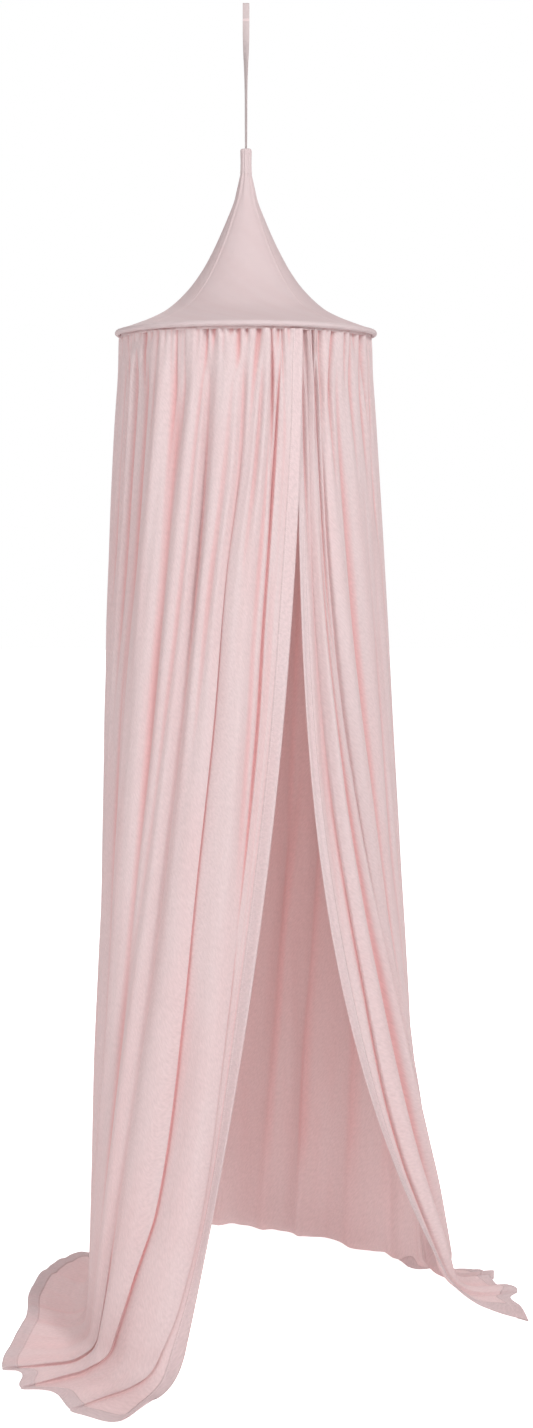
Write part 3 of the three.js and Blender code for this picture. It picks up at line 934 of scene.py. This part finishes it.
@dataclass
class Curtain:
    """The gathered curtain, whose threads run from rim to hem and are numbered from the slit."""

    finishes: Finishes
    # Where the threads start, how they lap at the slit and bend at the floor
    slit_angle: float = -65.0
    lap_angle: float = 2.0
    lap_lift: float = 0.006
    lap_threads: float = 0.06
    lap_drop: float = 0.3
    bend_radius: float = 0.055
    bend_share: float = 1.6
    belly: float = 0.008
    # Depth of the folds, and of the ripples on the floor
    fold_top: float = 0.006
    fold_bottom: float = 0.028
    fold_growth: float = 0.8
    fold_middle: float = 0.4
    ripple: float = 0.007
    crinkle: float = 0.002
    # Hems, the flat cloth and its side seams
    edge_hem: float = 0.018
    bottom_hem: float = 0.026
    hem_half: float = 0.0009
    hem_shape: tuple[float, ...] = (0.2, 0.9, 1, 1, 1, 1, 1, 0.8, 0.15)
    hem_overlap: float = 0.7
    cloth_width: float = 2.1
    cloth_length: float = 2.06
    seams: tuple[float, float, float] = (0.44, 0.615, 0.819)
    seam_calm: tuple[float, float] = (0.002, 0.03)
    blend_drop: float = 1.2
    # By thread: where it meets the floor and where it ends, in hoop radii, and how it leans
    floor_plan: SmoothTable = SmoothTable((
        (0, -0.46, -1.38), (0.025, -0.66, -1.43), (0.071, -0.97, -1.25), (0.108, -1.11, -1.04),
        (0.16, -1.17, -0.8), (0.21, -1.19, -0.56), (0.28, -1.19, -0.24), (0.36, -1.19, 0.26),
        (0.44, -1.14, 0.7), (0.52, -0.84, 1.05), (0.58, -0.46, 1.18), (0.65, 0, 1.12),
        (0.73, 0.62, 0.84), (0.77, 0.96, 0.66), (0.819, 1.34, 0.5), (0.88, 1.46, 0.32),
        (0.94, 1.58, 0.13), (0.97, 1.64, 0.03), (1, 1.67, -0.06)))
    hem_plan: SmoothTable = SmoothTable((
        (0, -0.66, -1.66), (0.013, -0.86, -1.92), (0.021, -1.1, -1.8), (0.028, -1.19, -1.73),
        (0.055, -1.34, -1.5), (0.071, -1.56, -1.46), (0.09, -1.58, -1.26), (0.108, -1.73, -1.18),
        (0.16, -1.72, -0.76), (0.21, -1.67, -0.36), (0.28, -1.7, 0.04), (0.32, -1.65, 0.34),
        (0.355, -1.58, 0.54), (0.39, -1.43, 0.76), (0.42, -1.24, 0.76), (0.44, -1.141, 0.701),
        (0.465, -1.075, 0.86), (0.5, -1.08, 1.12), (0.55, -0.76, 1.42), (0.65, 0, 1.48),
        (0.73, 0.74, 1.16), (0.79, 1.28, 0.72), (0.819, 1.341, 0.501), (0.845, 1.66, 0.5),
        (0.87, 1.92, 0.43), (0.892, 1.98, 0.33), (0.912, 1.94, 0.22), (0.94, 2.13, 0.09),
        (0.962, 2.06, -0.05), (0.98, 2.12, -0.2), (1, 2.145, -0.45)))
    lean: SmoothTable = SmoothTable((
        (0, 1.9), (0.025, 1.8), (0.071, 1.6), (0.14, 1.2), (0.21, 1), (0.36, 1), (0.44, 1),
        (0.58, 1), (0.73, 1), (0.819, 1), (0.88, 1.25), (0.94, 1.9), (0.97, 2.6), (1, 3.2)))
    # Creases with the depth of the fold after each, and the folds that lap
    creases: tuple[tuple[float, float], ...] = (
        (0, 0.3), (0.025, 0.55), (0.071, 0.75), (0.108, 0.8), (0.147, 1.1), (0.21, 0.9),
        (0.253, 0.8), (0.29, 1), (0.335, 0.9), (0.378, 0.7), (0.41, 0.6), (0.44, 0.7), (0.474, 1),
        (0.518, 1.1), (0.57, 1), (0.615, 1.2), (0.668, 0.9), (0.71, 1.1), (0.757, 0.9),
        (0.795, 0.6), (0.819, 0.7), (0.848, 0.5), (0.885, 0.7), (0.913, 1.4), (0.935, 1.7),
        (0.955, 1.3), (0.975, 0.6), (1, 0))
    pleats: tuple[Pleat, ...] = (
        Pleat(
            0.025, 1,
            ((0, 0.024), (0.13, 0.028), (0.26, 0.028), (0.375, 0.023), (0.52, 0.019),
             (0.66, 0.015), (0.8, 0.01), (0.88, 0.016), (0.93, 0.029), (1, 0.027)),
            ((0, 0), (0.05, -0.004), (0.12, -0.009), (0.4, -0.009), (0.52, -0.002),
             (0.6, 0.003), (0.8, 0.005), (0.9, 0.008), (0.96, 0.007), (1, 0.002))),
        Pleat(
            0.071, 1,
            ((0, 0.066), (0.12, 0.068), (0.225, 0.076), (0.36, 0.073), (0.495, 0.07),
             (0.62, 0.064), (0.8, 0.058), (0.86, 0.07), (0.93, 0.081), (1, 0.071)),
            ((0, 0), (0.08, 0.001), (0.2, 0.005), (0.5, 0.005), (0.8, 0.007), (0.9, 0.009),
             (0.96, 0.008), (1, 0.002))),
        Pleat(
            0.108, 1,
            ((0, 0.112), (0.8, 0.108), (0.93, 0.104), (1, 0.108)),
            ((0, 0), (0.8, 0), (0.88, 0.004), (0.93, 0.009), (0.96, 0.008), (1, 0.002))),
        Pleat(
            0.935, -1,
            ((0, 0.972), (0.14, 0.965), (0.375, 0.954), (0.63, 0.93), (0.8, 0.905),
             (0.885, 0.893), (0.95, 0.9), (1, 0.896)),
            ((0, 0.001), (0.1, 0.004), (0.35, 0.004), (0.6, 0.005), (0.85, 0.008),
             (0.95, 0.007), (1, 0.002)),
            turn=0.004),
        Pleat(
            0.975, -1,
            ((0, 0.986), (0.43, 0.979), (0.61, 0.975), (0.8, 0.98), (0.88, 0.975),
             (0.95, 0.97), (1, 0.944)),
            ((0, 0), (0.35, 0.001), (0.45, 0.004), (0.8, 0.006), (0.9, 0.008), (0.95, 0.007),
             (1, 0.002)),
            turn=0.0025),
    )
    lip_reach: float = 0.9
    wander_stops: tuple[float, float] = (0.16, 0.848)
    seam_numbers: tuple[float, ...] = (0.615, 0.921)
    seam_sink: float = 0.0009
    seam_width: float = 0.0011
    crease_softness: float = 0.3
    crease_power: float = 0.4
    drift: Unevenness = Unevenness(33, 0.006, 18, 3.2, start=(2, 4))
    drift_start: tuple[float, float] = (0.13, 0.18)
    drift_end: float = 0.83
    drift_fade: float = 0.05
    drift_drops: tuple[float, float] = (0.03, 0.3)
    waver: float = 0.55
    waver_seed: int = 33
    waver_lattice: tuple[float, float, float, float] = (3.7, 40, 4, 1.3)
    # Gathers under the rim and soft streaks
    gather_seed: int = 7
    gather_count: int = 110
    gather_widths: tuple[float, float] = (0.0022, 0.0056)
    gather_depths: tuple[float, float] = (0.004, 0.0125)
    gather_lengths: tuple[float, ...] = (0.025, 0.05, 0.09, 0.16, 0.3)
    gather_shares: tuple[float, ...] = (0.18, 0.24, 0.26, 0.19, 0.13)
    gather_leans: tuple[float, float] = (-0.006, 0.006)
    gather_lean_length: float = 0.1
    gather_fade: float = 1.5
    streak_count: int = 150
    streak_widths: tuple[float, float] = (0.005, 0.016)
    streak_depths: tuple[float, float] = (-0.011, 0.006)
    streak_drops: tuple[float, float] = (0.0, 0.85)
    streak_reaches: tuple[float, float] = (0.08, 0.3)
    streak_leans: tuple[float, float] = (-0.01, 0.01)
    top_swell: float = 0.0008
    top_swell_length: float = 0.12
    # Place, width, depth, middle, reach and lean of the creases that the photo shows most clearly
    known_streaks: tuple[tuple[float, ...], ...] = (
        (0.036, 0.006, -0.006, 0.2, 0.3, 0), (0.087, 0.007, -0.008, 0.2, 0.25, 0.004),
        (0.125, 0.008, -0.008, 0.3, 0.35, 0.01), (0.345, 0.009, -0.01, 0.25, 0.4, 0.008),
        (0.2264, 0.004, -0.007, 0.02, 0.04, 0.003), (0.2, 0.011, -0.013, 0.2, 0.3, 0),
        (0.1824, 0.009, -0.006, 0.06, 0.08, 0), (0.1554, 0.012, -0.006, 0.05, 0.07, -0.004),
        (0.1368, 0.012, -0.007, 0.05, 0.07, 0.004), (0.1075, 0.006, -0.012, 0.15, 0.2, -0.003),
        (0.0735, 0.006, -0.012, 0.15, 0.2, 0), (0.0507, 0.006, -0.012, 0.1, 0.12, 0.002),
        (0.0262, 0.005, -0.008, 0.08, 0.07, 0), (0.947, 0.005, -0.012, 0.15, 0.2, 0),
        (0.9313, 0.003, -0.008, 0.05, 0.06, 0), (0.9217, 0.003, -0.009, 0.06, 0.08, 0.001),
        (0.893, 0.006, -0.008, 0.05, 0.08, 0), (0.875, 0.006, -0.008, 0.05, 0.08, 0),
        (0.984, 0.006, -0.012, 0.09, 0.1, -0.003))
    quiet_stretch: tuple[float, float] = (0.118, 0.185)
    quiet_share: float = 0.35
    # Fine unevenness and where it is held back
    broad: Unevenness = Unevenness(31, 0.003, 46, 5, start=(1, 3))
    fine: Unevenness = Unevenness(32, 0.0008, 92, 14)
    floor_fine: Unevenness = Unevenness(32, 1, 92, 30, start=(7, 0))
    soft_start: float = 0.06
    edge_reach: float = 0.012
    lying_slopes: tuple[float, float] = (0.2, 0.9)
    normal_step: float = 0.004
    floor_gap: float = 0.0004
    # Painted shade: how strongly the creases are painted a darker, more saturated pink, and the
    # painted shadow along the pleats' lips
    painted_shade_steps: tuple[tuple[int, float], ...] = ((3, 0.0016), (7, 0.005), (14, 0.014))
    painted_shade_least: float = -0.3
    painted_shade_strength: float = 0.9
    painted_shade_floor_loss: float = 0.85
    painted_shade_floor_drops: tuple[float, float] = (0.82, 0.9)
    back_painted_shade: float = 0.5
    pleat_shadow_height: float = 0.007
    pleat_shadow_place: float = 0.001
    pleat_shadow_width: float = 0.0016
    # Columns of the grids and lines of stitches
    row_breaks: tuple[float, float] = (0.1, 0.84)
    row_counts: tuple[int, int, int] = (42, 110, 84)
    column_samples: int = 6000
    pleat_columns: float = 6.0
    pleat_columns_reach: float = 0.003
    line_points: int = 400
    line_ends: tuple[float, float] = (0.002, 0.999)
    hem_line: float = 0.86
    hem_line_lift: float = 0.0011
    seam_line_away: float = 0.0013
    seam_line_lift: float = 0.0006

    def __post_init__(self) -> None:
        """Draws the gathers under the rim and the streaks."""
        draw = np.random.default_rng(self.gather_seed)
        count = self.gather_count
        self.gathers = np.stack([
            (np.arange(count) + draw.uniform(0.1, 0.9, count)) / count,
            draw.uniform(*self.gather_widths, count),
            draw.uniform(*self.gather_depths, count),
            draw.choice(self.gather_lengths, count, p=self.gather_shares),
            draw.uniform(*self.gather_leans, count)], axis=1)
        count = self.streak_count
        self.streaks = np.stack([
            (np.arange(count) + draw.uniform(0, 1, count)) / count,
            draw.uniform(*self.streak_widths, count),
            draw.uniform(*self.streak_depths, count),
            draw.uniform(*self.streak_drops, count),
            draw.uniform(*self.streak_reaches, count),
            draw.uniform(*self.streak_leans, count)], axis=1)
        low, high = self.quiet_stretch
        for marks in (self.gathers, self.streaks):
            quiet = (marks[:, 0] > low) & (marks[:, 0] < high)
            marks[quiet, 2] *= self.quiet_share
        self.streaks = np.concatenate([self.streaks, np.array(self.known_streaks)])

    @property
    def floor(self) -> float:
        """Level of the cloth's middle where it lies on the floor."""
        return FLOOR_LEVEL + FLOOR_CLEARANCE

    def base(self, thread: np.ndarray, drop: np.ndarray) -> np.ndarray:
        """The threads' own lines, without folds.

        Args:
            thread: Thread numbers.
            drop: Places from the rim, 0, to the hem, 1.

        Returns:
            The points.
        """
        thread, drop = np.broadcast_arrays(np.asarray(thread, float), np.asarray(drop, float))
        angle = np.radians(self.slit_angle - thread * (360 + self.lap_angle))
        lift = (
            self.lap_lift
            * smooth_step(self.lap_threads - thread, 0, self.lap_threads)
            * smooth_step(self.lap_drop - drop, 0, self.lap_drop))
        top = round_points(CURTAIN_RADIUS + lift, angle, CURTAIN_TOP)
        place = np.clip(thread, 0, 1)
        level = np.full(thread.shape + (1,), self.floor)
        foot = np.concatenate([self.floor_plan.at(place) * HOOP_RADIUS, level], axis=-1)
        hem = np.concatenate([self.hem_plan.at(place) * HOOP_RADIUS, level], axis=-1)
        power = self.lean.at(place)
        tail = hem - foot
        tail_length = np.linalg.norm(tail, axis=-1, keepdims=True)
        hanging = np.linalg.norm(top - foot, axis=-1, keepdims=True)
        bend = np.minimum(self.bend_radius, tail_length)
        straight = hanging - bend
        curve = bend * self.bend_share
        along = drop[..., None] * (straight + curve + np.maximum(tail_length - bend, 0))

        def hang(share: np.ndarray) -> np.ndarray:
            """The hanging part of the threads.

            Args:
                share: Places along it, from the rim, 0, to the floor, 1.

            Returns:
                The points.
            """
            leaning = np.maximum(share, 0) ** power
            sideways = top[..., :2] + (foot[..., :2] - top[..., :2]) * leaning
            swell = self.belly * np.sin(math.pi * np.clip(share, 0, 1))
            sideways = sideways + top[..., :2] / CURTAIN_RADIUS * swell
            height = top[..., 2:] + (foot[..., 2:] - top[..., 2:]) * share
            return np.concatenate([sideways, height], axis=-1)

        way = tail / tail_length
        bend_end = foot + way * bend
        t = np.clip((along - straight) / curve, 0, 1)
        bent = hang(straight / hanging) * (1 - t) ** 2 + foot * 2 * t * (1 - t) + bend_end * t**2
        lying = bend_end + way * (along - straight - curve)
        rest = np.where(along >= straight + curve, lying, bent)
        return np.where(along <= straight, hang(along / hanging), rest)

    def _normal(self, thread: np.ndarray, drop: np.ndarray) -> np.ndarray:
        """Outward normals of the base.

        Args:
            thread: Thread numbers.
            drop: Places from rim to hem.

        Returns:
            Unit vectors.
        """
        step = self.normal_step
        along_thread = self.base(thread + step, drop) - self.base(thread - step, drop)
        along_drop = self.base(thread, drop + step) - self.base(thread, drop - step)
        normal = np.cross(along_thread, along_drop)
        normal /= np.linalg.norm(normal, axis=-1, keepdims=True)
        place = self.base(thread, drop)
        outwards = normal[..., 0] * place[..., 0] + normal[..., 1] * place[..., 1]
        side = outwards + normal[..., 2] * HOOP_RADIUS
        return normal * np.where(side < 0, -1.0, 1.0)[..., None]

    def _calm(self, number: np.ndarray) -> np.ndarray:
        """0 at the side seams, which the flaps swing about, and 1 away from them."""
        nearest = np.minimum(np.abs(number - self.seams[0]), np.abs(number - self.seams[2]))
        return smooth_step(nearest, *self.seam_calm)

    def _thread(self, number: np.ndarray, drop: np.ndarray) -> np.ndarray:
        """The thread that lies at a number, because creases wander on their way down.

        Args:
            number: Numbers in the curtain's count.
            drop: Places from rim to hem.

        Returns:
            Thread numbers.
        """
        stops = (0.0, self.seams[0], 1.0, *self.wander_stops)
        knots = sorted([*stops, *(pleat.number for pleat in self.pleats)])
        thread = number.copy()
        for pleat in self.pleats:
            i = knots.index(pleat.number)
            rising = (number - knots[i - 1]) / (pleat.number - knots[i - 1])
            falling = (knots[i + 1] - number) / (knots[i + 1] - pleat.number)
            thread = thread + pleat.shift(drop) * np.clip(np.minimum(rising, falling), 0, 1)
        return thread

    def _folds(self, number: np.ndarray, drop: np.ndarray) -> np.ndarray:
        """How far the main folds stand out, as a share.

        Args:
            number: Numbers in the curtain's count.
            drop: Places from rim to hem.

        Returns:
            The share at each place.
        """
        spots, depths = np.array(self.creases, float).T
        calm = self._calm(number)
        free = smooth_step(number, *self.drift_start)
        free = free * smooth_step(self.drift_end - number, 0, self.drift_fade) * calm
        drift = self.drift.at(number, drop) * smooth_step(drop, *self.drift_drops)
        place = np.clip(number + drift * free, 0, 1)
        i = np.clip(np.searchsorted(spots, place, side="right") - 1, 0, len(spots) - 2)
        across = (place - spots[i]) / (spots[i + 1] - spots[i])
        step, start, down, shift = self.waver_lattice
        noise = SmoothNoise(self.waver_seed).at(i * step + start, drop * down + i * shift)
        soft, power = self.crease_softness, self.crease_power
        arch = (np.sin(math.pi * across) ** 2 + soft**2) ** power - soft ** (2 * power)
        return (depths[i] * (1 + self.waver * noise) * arch - self.fold_middle) * calm

    def _gathers(self, number: np.ndarray, fall: np.ndarray) -> np.ndarray:
        """Fine gathers under the rim.

        Args:
            number: Numbers in the curtain's count.
            fall: Metres of cloth below the rim.

        Returns:
            Metres in or out.
        """
        total = np.zeros(np.broadcast_shapes(number.shape, fall.shape))
        for place, width, depth, length, lean in self.gathers:
            away = (number - place - lean * fall / self.gather_lean_length) * CURTAIN_ROUND
            fading = np.exp(-((fall / length) ** self.gather_fade))
            total -= depth * bell(away, width * (1 + fall / length)) * fading
        swell_length = self.top_swell_length
        return total + self.top_swell * smooth_step(swell_length - fall, 0, swell_length)

    def _streaks(self, number: np.ndarray, drop: np.ndarray) -> np.ndarray:
        """Soft creases and swells that come and go on the way down.

        Args:
            number: Numbers in the curtain's count.
            drop: Places from rim to hem.

        Returns:
            Metres in or out.
        """
        total = np.zeros(np.broadcast_shapes(number.shape, drop.shape))
        for place, width, depth, middle, reach, lean in self.streaks:
            off = (drop - middle) / reach
            away = (number - place - lean * off) * CURTAIN_ROUND
            total += depth * bell(away, width * (1 + drop)) * bell(off)
        return total

    def at(
        self, number: np.ndarray, drop: np.ndarray, lift: float | np.ndarray = 0.0,
    ) -> np.ndarray:
        """Points of the cloth.

        Args:
            number: Numbers in the curtain's count.
            drop: Places from rim to hem.
            lift: Metres to stand off it, outwards.

        Returns:
            The points.
        """
        number, drop = np.broadcast_arrays(np.asarray(number, float), np.asarray(drop, float))
        thread = self._thread(number, drop)
        raised = np.zeros(number.shape)
        for pleat in self.pleats:
            height, over = pleat.raised(number, drop)
            raised = raised + height
            thread = thread - pleat.side * over * self.lip_reach / CURTAIN_ROUND
        normal = self._normal(thread, drop)
        lying = smooth_step(np.abs(normal[..., 2]), *self.lying_slopes)
        growth = np.maximum(drop, 0) ** self.fold_growth
        hanging = self.fold_top + (self.fold_bottom - self.fold_top) * growth
        wave = self._folds(number, drop)
        edge_calm = smooth_step(np.minimum(number, 1 - number), 0, self.edge_reach)
        calm = self._calm(number)
        gathers = self._gathers(number, drop * self.cloth_length)
        amount = (hanging * wave * (1 - lying) + gathers) * edge_calm
        soft = self.broad.at(number, drop) + self.fine.at(number, drop)
        soft = soft + self._streaks(number, drop)
        started = smooth_step(drop, 0.0, self.soft_start)
        amount = amount + soft * (1 - lying) * started * calm * edge_calm
        ripple = self.ripple * (wave + self.fold_middle * calm)
        ripple = ripple + self.crinkle * (1 + self.floor_fine.at(number, drop)) * calm
        amount = amount + np.maximum(ripple, 0) * lying + raised
        for seam in self.seam_numbers:
            amount = amount - self.seam_sink * bell(number - seam, self.seam_width)
        place = self.base(thread, drop) + normal * (amount + lift)[..., None]
        place[..., 2] = np.maximum(place[..., 2], FLOOR_LEVEL + self.floor_gap)
        return place

    def columns(self, start: float, end: float, count: int) -> np.ndarray:
        """Numbers across a panel, close together at the pleats.

        Args:
            start: First number.
            end: Last number.
            count: How many.

        Returns:
            The numbers.
        """
        fine = np.linspace(start, end, self.column_samples)
        density = np.ones(fine.shape)
        for pleat in self.pleats:
            away = np.abs(fine - pleat.number)
            density += self.pleat_columns * np.exp(-away / self.pleat_columns_reach)
        total = np.concatenate([[0], np.cumsum((density[1:] + density[:-1]) / 2)])
        return np.interp(np.linspace(0, total[-1], count), total, fine)

    def rows(self) -> np.ndarray:
        """Places down the cloth, close together at the rim and at the floor."""
        (upper, lower), (top, middle, foot) = self.row_breaks, self.row_counts
        return np.concatenate([
            np.linspace(0, upper, top)[:-1], np.linspace(upper, lower, middle)[:-1],
            np.linspace(lower, 1, foot)])

    def build(self) -> None:
        """Builds every panel with its hems and stitches."""
        left, back, right = self.seams
        for panel in (
            Panel("left_front", 0.0, left, 400, Body.LEFT, "start"),
            Panel("back_left", left, back, 150, Body.CROWN),
            Panel("back_right", back, right, 180, Body.CROWN),
            Panel("right_front", right, 1.0, 240, Body.RIGHT, "end"),
        ):
            self._panel(panel)

    def _attach(self, piece: bpy.types.Object, panel: Panel) -> None:
        """Makes a crown piece follow the crown's body; a flap's piece only has its transform baked
        and gets no body.

        Args:
            piece: The piece.
            panel: The panel that it belongs to.
        """
        if panel.body is Body.CROWN:
            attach(piece, Body.CROWN.value)
        else:
            seam = np.array(self.seams[0] if panel.body is Body.LEFT else self.seams[2])
            top = self.at(seam, np.array(0.0))
            low = self.at(seam, np.array(self.blend_drop / self.cloth_length))
            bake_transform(piece)

    def _strip(
        self, name: str, threads: np.ndarray, drops: np.ndarray, thin: np.ndarray, by_thread: bool,
    ) -> bpy.types.Object:
        """A folded hem: a closed strip that is thick in the middle and rounded at its free edge.

        Args:
            name: The object's name.
            threads: Thread numbers of its grid.
            drops: Drops of its grid.
            thin: Half thickness across the hem, in metres.
            by_thread: Whether the hem's width runs along the threads' numbers.

        Returns:
            The hem.
        """
        thread, drop = np.meshgrid(threads, drops, indexing="ij")
        half = np.broadcast_to(thin[:, None] if by_thread else thin[None, :], thread.shape)
        sides = (self.at(thread, drop, half), self.at(thread, drop, -half))
        axis = 0 if by_thread else 1
        points, ring_thread, ring_drop = (
            np.concatenate([outer, np.flip(inner, axis)], axis=axis)
            for outer, inner in (sides, (thread, thread), (drop, drop)))
        cloth = self._cloth(ring_thread, ring_drop)
        return make_sheet(name, points, cloth, self.finishes.hem, by_thread, not by_thread)

    def _cloth(self, number: np.ndarray, drop: np.ndarray) -> np.ndarray:
        """Places in the flat cloth, in metres."""
        return np.stack([number * self.cloth_width, drop * self.cloth_length], axis=-1)

    def _paint_crease_shade(
        self, sheet: bpy.types.Object, points: np.ndarray, number: np.ndarray, rows: np.ndarray,
        strength: float,
    ) -> None:
        """Marks on the mesh how much painted shade each point gets: more the deeper it lies in a
        fold, and a painted shadow along each pleat's lip.

        Args:
            sheet: The cloth.
            points: Its points, by column and row.
            number: The curtain's number at each of them.
            rows: The places of its rows, from rim to hem.
            strength: How strong the painted shade is.
        """
        normals = np.empty(points.size)
        sheet.data.vertex_normals.foreach_get("vector", normals)
        normals = normals.reshape(points.shape)
        total = np.zeros(points.shape[:2])
        # Painted shade: points that lie below their neighbours, deep in a crease, get the darker
        # pink
        for step, depth in self.painted_shade_steps:
            padded = np.pad(points, ((step, step), (0, 0), (0, 0)), mode="edge")
            middle = (padded[2 * step:] + padded[:-2 * step]) / 2 - points
            inside = np.sum(middle * normals, axis=-1) / depth
            inside[:step] = inside[-step:] = 0
            total += np.clip(inside, self.painted_shade_least, 1.0) / len(self.painted_shade_steps)
        # Painted shadow: a thin dark pink line beside each pleat's lip, as strong as the lip rises
        for pleat in self.pleats:
            away = pleat.side * (number - pleat.number)
            height = pleat.height(rows) / self.pleat_shadow_height
            away = away + self.pleat_shadow_place * np.sign(height)
            total += np.abs(height) * bell(away, self.pleat_shadow_width)
        # The painted shade fades where the cloth lies on the floor
        painted_shade_layer = sheet.data.attributes.new("painted_shade", "FLOAT", "POINT")
        on_floor = smooth_step(rows, *self.painted_shade_floor_drops)
        total *= self.painted_shade_strength * strength * (1 - self.painted_shade_floor_loss * on_floor)
        painted_shade_layer.data.foreach_set("value", np.clip(total, 0, 1).ravel())

    def _panel(self, panel: Panel) -> None:
        """Builds one panel, its hems and its stitches.

        Args:
            panel: The panel.
        """
        edge_threads = self.edge_hem / (2 * math.pi * HOOP_RADIUS)
        hem_share = self.bottom_hem / (CURTAIN_TOP - self.floor)
        inset = edge_threads * self.hem_overlap
        start = panel.start + (inset if panel.edge == "start" else 0.0)
        end = panel.end - (inset if panel.edge == "end" else 0.0)
        rows = self.rows()
        rows = rows[rows < 1 - hem_share * self.hem_overlap]
        number, drop = np.meshgrid(self.columns(start, end, panel.columns), rows, indexing="ij")
        points = self.at(number, drop)
        cloth = self._cloth(number, drop)
        sheet = make_sheet(f"{panel.name}_cloth", points, cloth, self.finishes.curtain)
        # Back panels get weaker painted crease shade
        strength = self.back_painted_shade if panel.body is Body.CROWN else 1.0
        self._paint_crease_shade(sheet, points, number, rows, strength)
        self._attach(sheet, panel)
        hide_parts(f"{panel.name}_panel")
        shape = np.array(self.hem_shape) * self.hem_half
        line = self.columns(panel.start, panel.end, panel.columns)
        hem_rows = np.linspace(1 - hem_share, 1, len(shape))
        hem = self._strip(f"{panel.name}_hem_cloth", line, hem_rows, shape, False)
        self._attach(hem, panel)
        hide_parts(f"{panel.name}_bottom_hem")
        hem_line = np.full(line.shape, 1 - hem_share * self.hem_line)
        runs = [self.at(line, hem_line, self.hem_line_lift)]
        if panel.edge:
            near = panel.start if panel.edge == "start" else panel.end
            way = 1 if panel.edge == "start" else -1
            across = near + way * np.linspace(0, edge_threads, len(shape))
            strip = self._strip(
                f"{panel.name}_edge_cloth", across, self.rows(), shape[::-1], True)
            self._attach(strip, panel)
            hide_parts(f"{panel.name}_edge_hem")
            edge_line = np.array(near + way * edge_threads * self.hem_line)
            down = np.linspace(*self.line_ends, self.line_points)
            runs.append(self.at(edge_line, down, self.hem_line_lift))
        for seam in self.seam_numbers:
            if panel.start < seam <= panel.end:
                down = np.linspace(self.line_ends[0], 1 - hem_share, self.line_points)
                seam_line = np.array(seam - self.seam_line_away)
                runs.append(self.at(seam_line, down, self.seam_line_lift))
        sewn = stitches(f"{panel.name}_stitches", runs, self.finishes.thread)
        self._attach(sewn, panel)
        wide = (panel.end - panel.start) * self.cloth_width
        log.info("%s: %d faces", panel.name, len(sheet.data.polygons))


# ---------------------------------------------------------------- the studio


@dataclass(frozen=True)
class Lamp:
    """A soft square light: where it stands, what it points at, its side and its power in watts."""

    name: str
    place: tuple[float, float, float]
    towards: tuple[float, float, float]
    size: float
    power: float

    def build(self) -> None:
        """Adds the light to the scene."""
        lamp = bpy.data.lights.new(self.name, "AREA")
        lamp.size = self.size
        lamp.energy = self.power
        holder = bpy.data.objects.new(self.name, lamp)
        holder.location = self.place
        way = Vector(self.towards) - Vector(self.place)
        holder.rotation_euler = way.to_track_quat("-Z", "Y").to_euler()
        bpy.context.scene.collection.objects.link(holder)


@dataclass
class Studio:
    """The floor, the lights and the camera."""

    lamps: tuple[Lamp, ...] = (
        Lamp("key", (2.2, -3.3, 1.6), (0.0, 0.0, -1.5), 1.0, 124.0),
        Lamp("fill", (-2.4, -3.4, 0.6), (0.0, 0.0, -1.5), 1.4, 50.0),
        Lamp("back", (-0.6, 3.2, 0.4), (0.0, 0.0, -1.2), 1.6, 42.0))
    surround: float = 0.4
    floor_size: float = 14.0
    floor_glow: float = 0.35
    floor_glow_seen: float = 0.5
    camera_place: tuple[float, float, float] = (0.040, -3.5, -0.946)
    focal_pixels: float = 1792.0
    photo_height: float = 1428.0
    horizon_offset: float = 226.0
    sensor: float = 36.0
    clip_end: float = 60.0

    def build(self) -> None:
        """Builds the studio."""
        self._floor()
        self._world()
        for lamp in self.lamps:
            lamp.build()
        self._camera()

    def _floor(self) -> None:
        """A pale floor under the canopy, which the camera sees as nearly white."""
        mesh = bpy.data.meshes.new("floor")
        size = self.floor_size
        corners = ((-size, -size), (size, -size), (size, size), (-size, size))
        mesh.from_pydata([(x, y, FLOOR_LEVEL) for x, y in corners], [], [(0, 1, 2, 3)])
        floor = bpy.data.objects.new("floor", mesh)
        paper = Plain("pale floor", (0.95, 0.95, 0.95), 1.0).build()
        tree = paper.node_tree
        path = tree.nodes.new("ShaderNodeLightPath")
        seen = Value(tree, path.outputs["Is Camera Ray"])
        glow = seen * self.floor_glow_seen + self.floor_glow
        shader = tree.nodes["Principled BSDF"]
        shader.inputs["Emission Color"].default_value = (1.0, 1.0, 1.0, 1.0)
        tree.links.new(glow.socket, shader.inputs["Emission Strength"])
        mesh.materials.append(paper)
        bpy.context.scene.collection.objects.link(floor)

    def _world(self) -> None:
        """A plain surround that lights the canopy softly and that the camera sees as white."""
        world = bpy.data.worlds.new("studio")
        world.use_nodes = True
        tree = world.node_tree
        tree.nodes.clear()
        new, join = tree.nodes.new, tree.links.new
        path = new("ShaderNodeLightPath")
        seen, lit = new("ShaderNodeBackground"), new("ShaderNodeBackground")
        for ground in (seen, lit):
            ground.inputs[0].default_value = (1, 1, 1, 1)
        lit.inputs[1].default_value = self.surround
        mix, out = new("ShaderNodeMixShader"), new("ShaderNodeOutputWorld")
        join(path.outputs["Is Camera Ray"], mix.inputs[0])
        join(lit.outputs[0], mix.inputs[1])
        join(seen.outputs[0], mix.inputs[2])
        join(mix.outputs[0], out.inputs[0])
        bpy.context.scene.world = world

    def _camera(self) -> None:
        """The photograph's view: a level camera whose picture is shifted down."""
        data = bpy.data.cameras.new("photo")
        data.sensor_width = self.sensor
        data.lens = self.sensor * self.focal_pixels / self.photo_height
        data.shift_y = -self.horizon_offset / self.photo_height
        data.clip_end = self.clip_end
        camera = bpy.data.objects.new("photo", data)
        camera.location = self.camera_place
        camera.rotation_euler = (math.pi / 2, 0.0, 0.0)
        bpy.context.scene.collection.objects.link(camera)
        bpy.context.scene.camera = camera


def main() -> None:
    """Builds the canopy and its studio."""
    Studio().build()
    finishes = Finishes.build()
    Tape(finishes).build()
    Crown(finishes).build()
    Curtain(finishes).build()
    bpy.context.scene.view_settings.view_transform = "Standard"


if __name__ == "__main__":
    main()
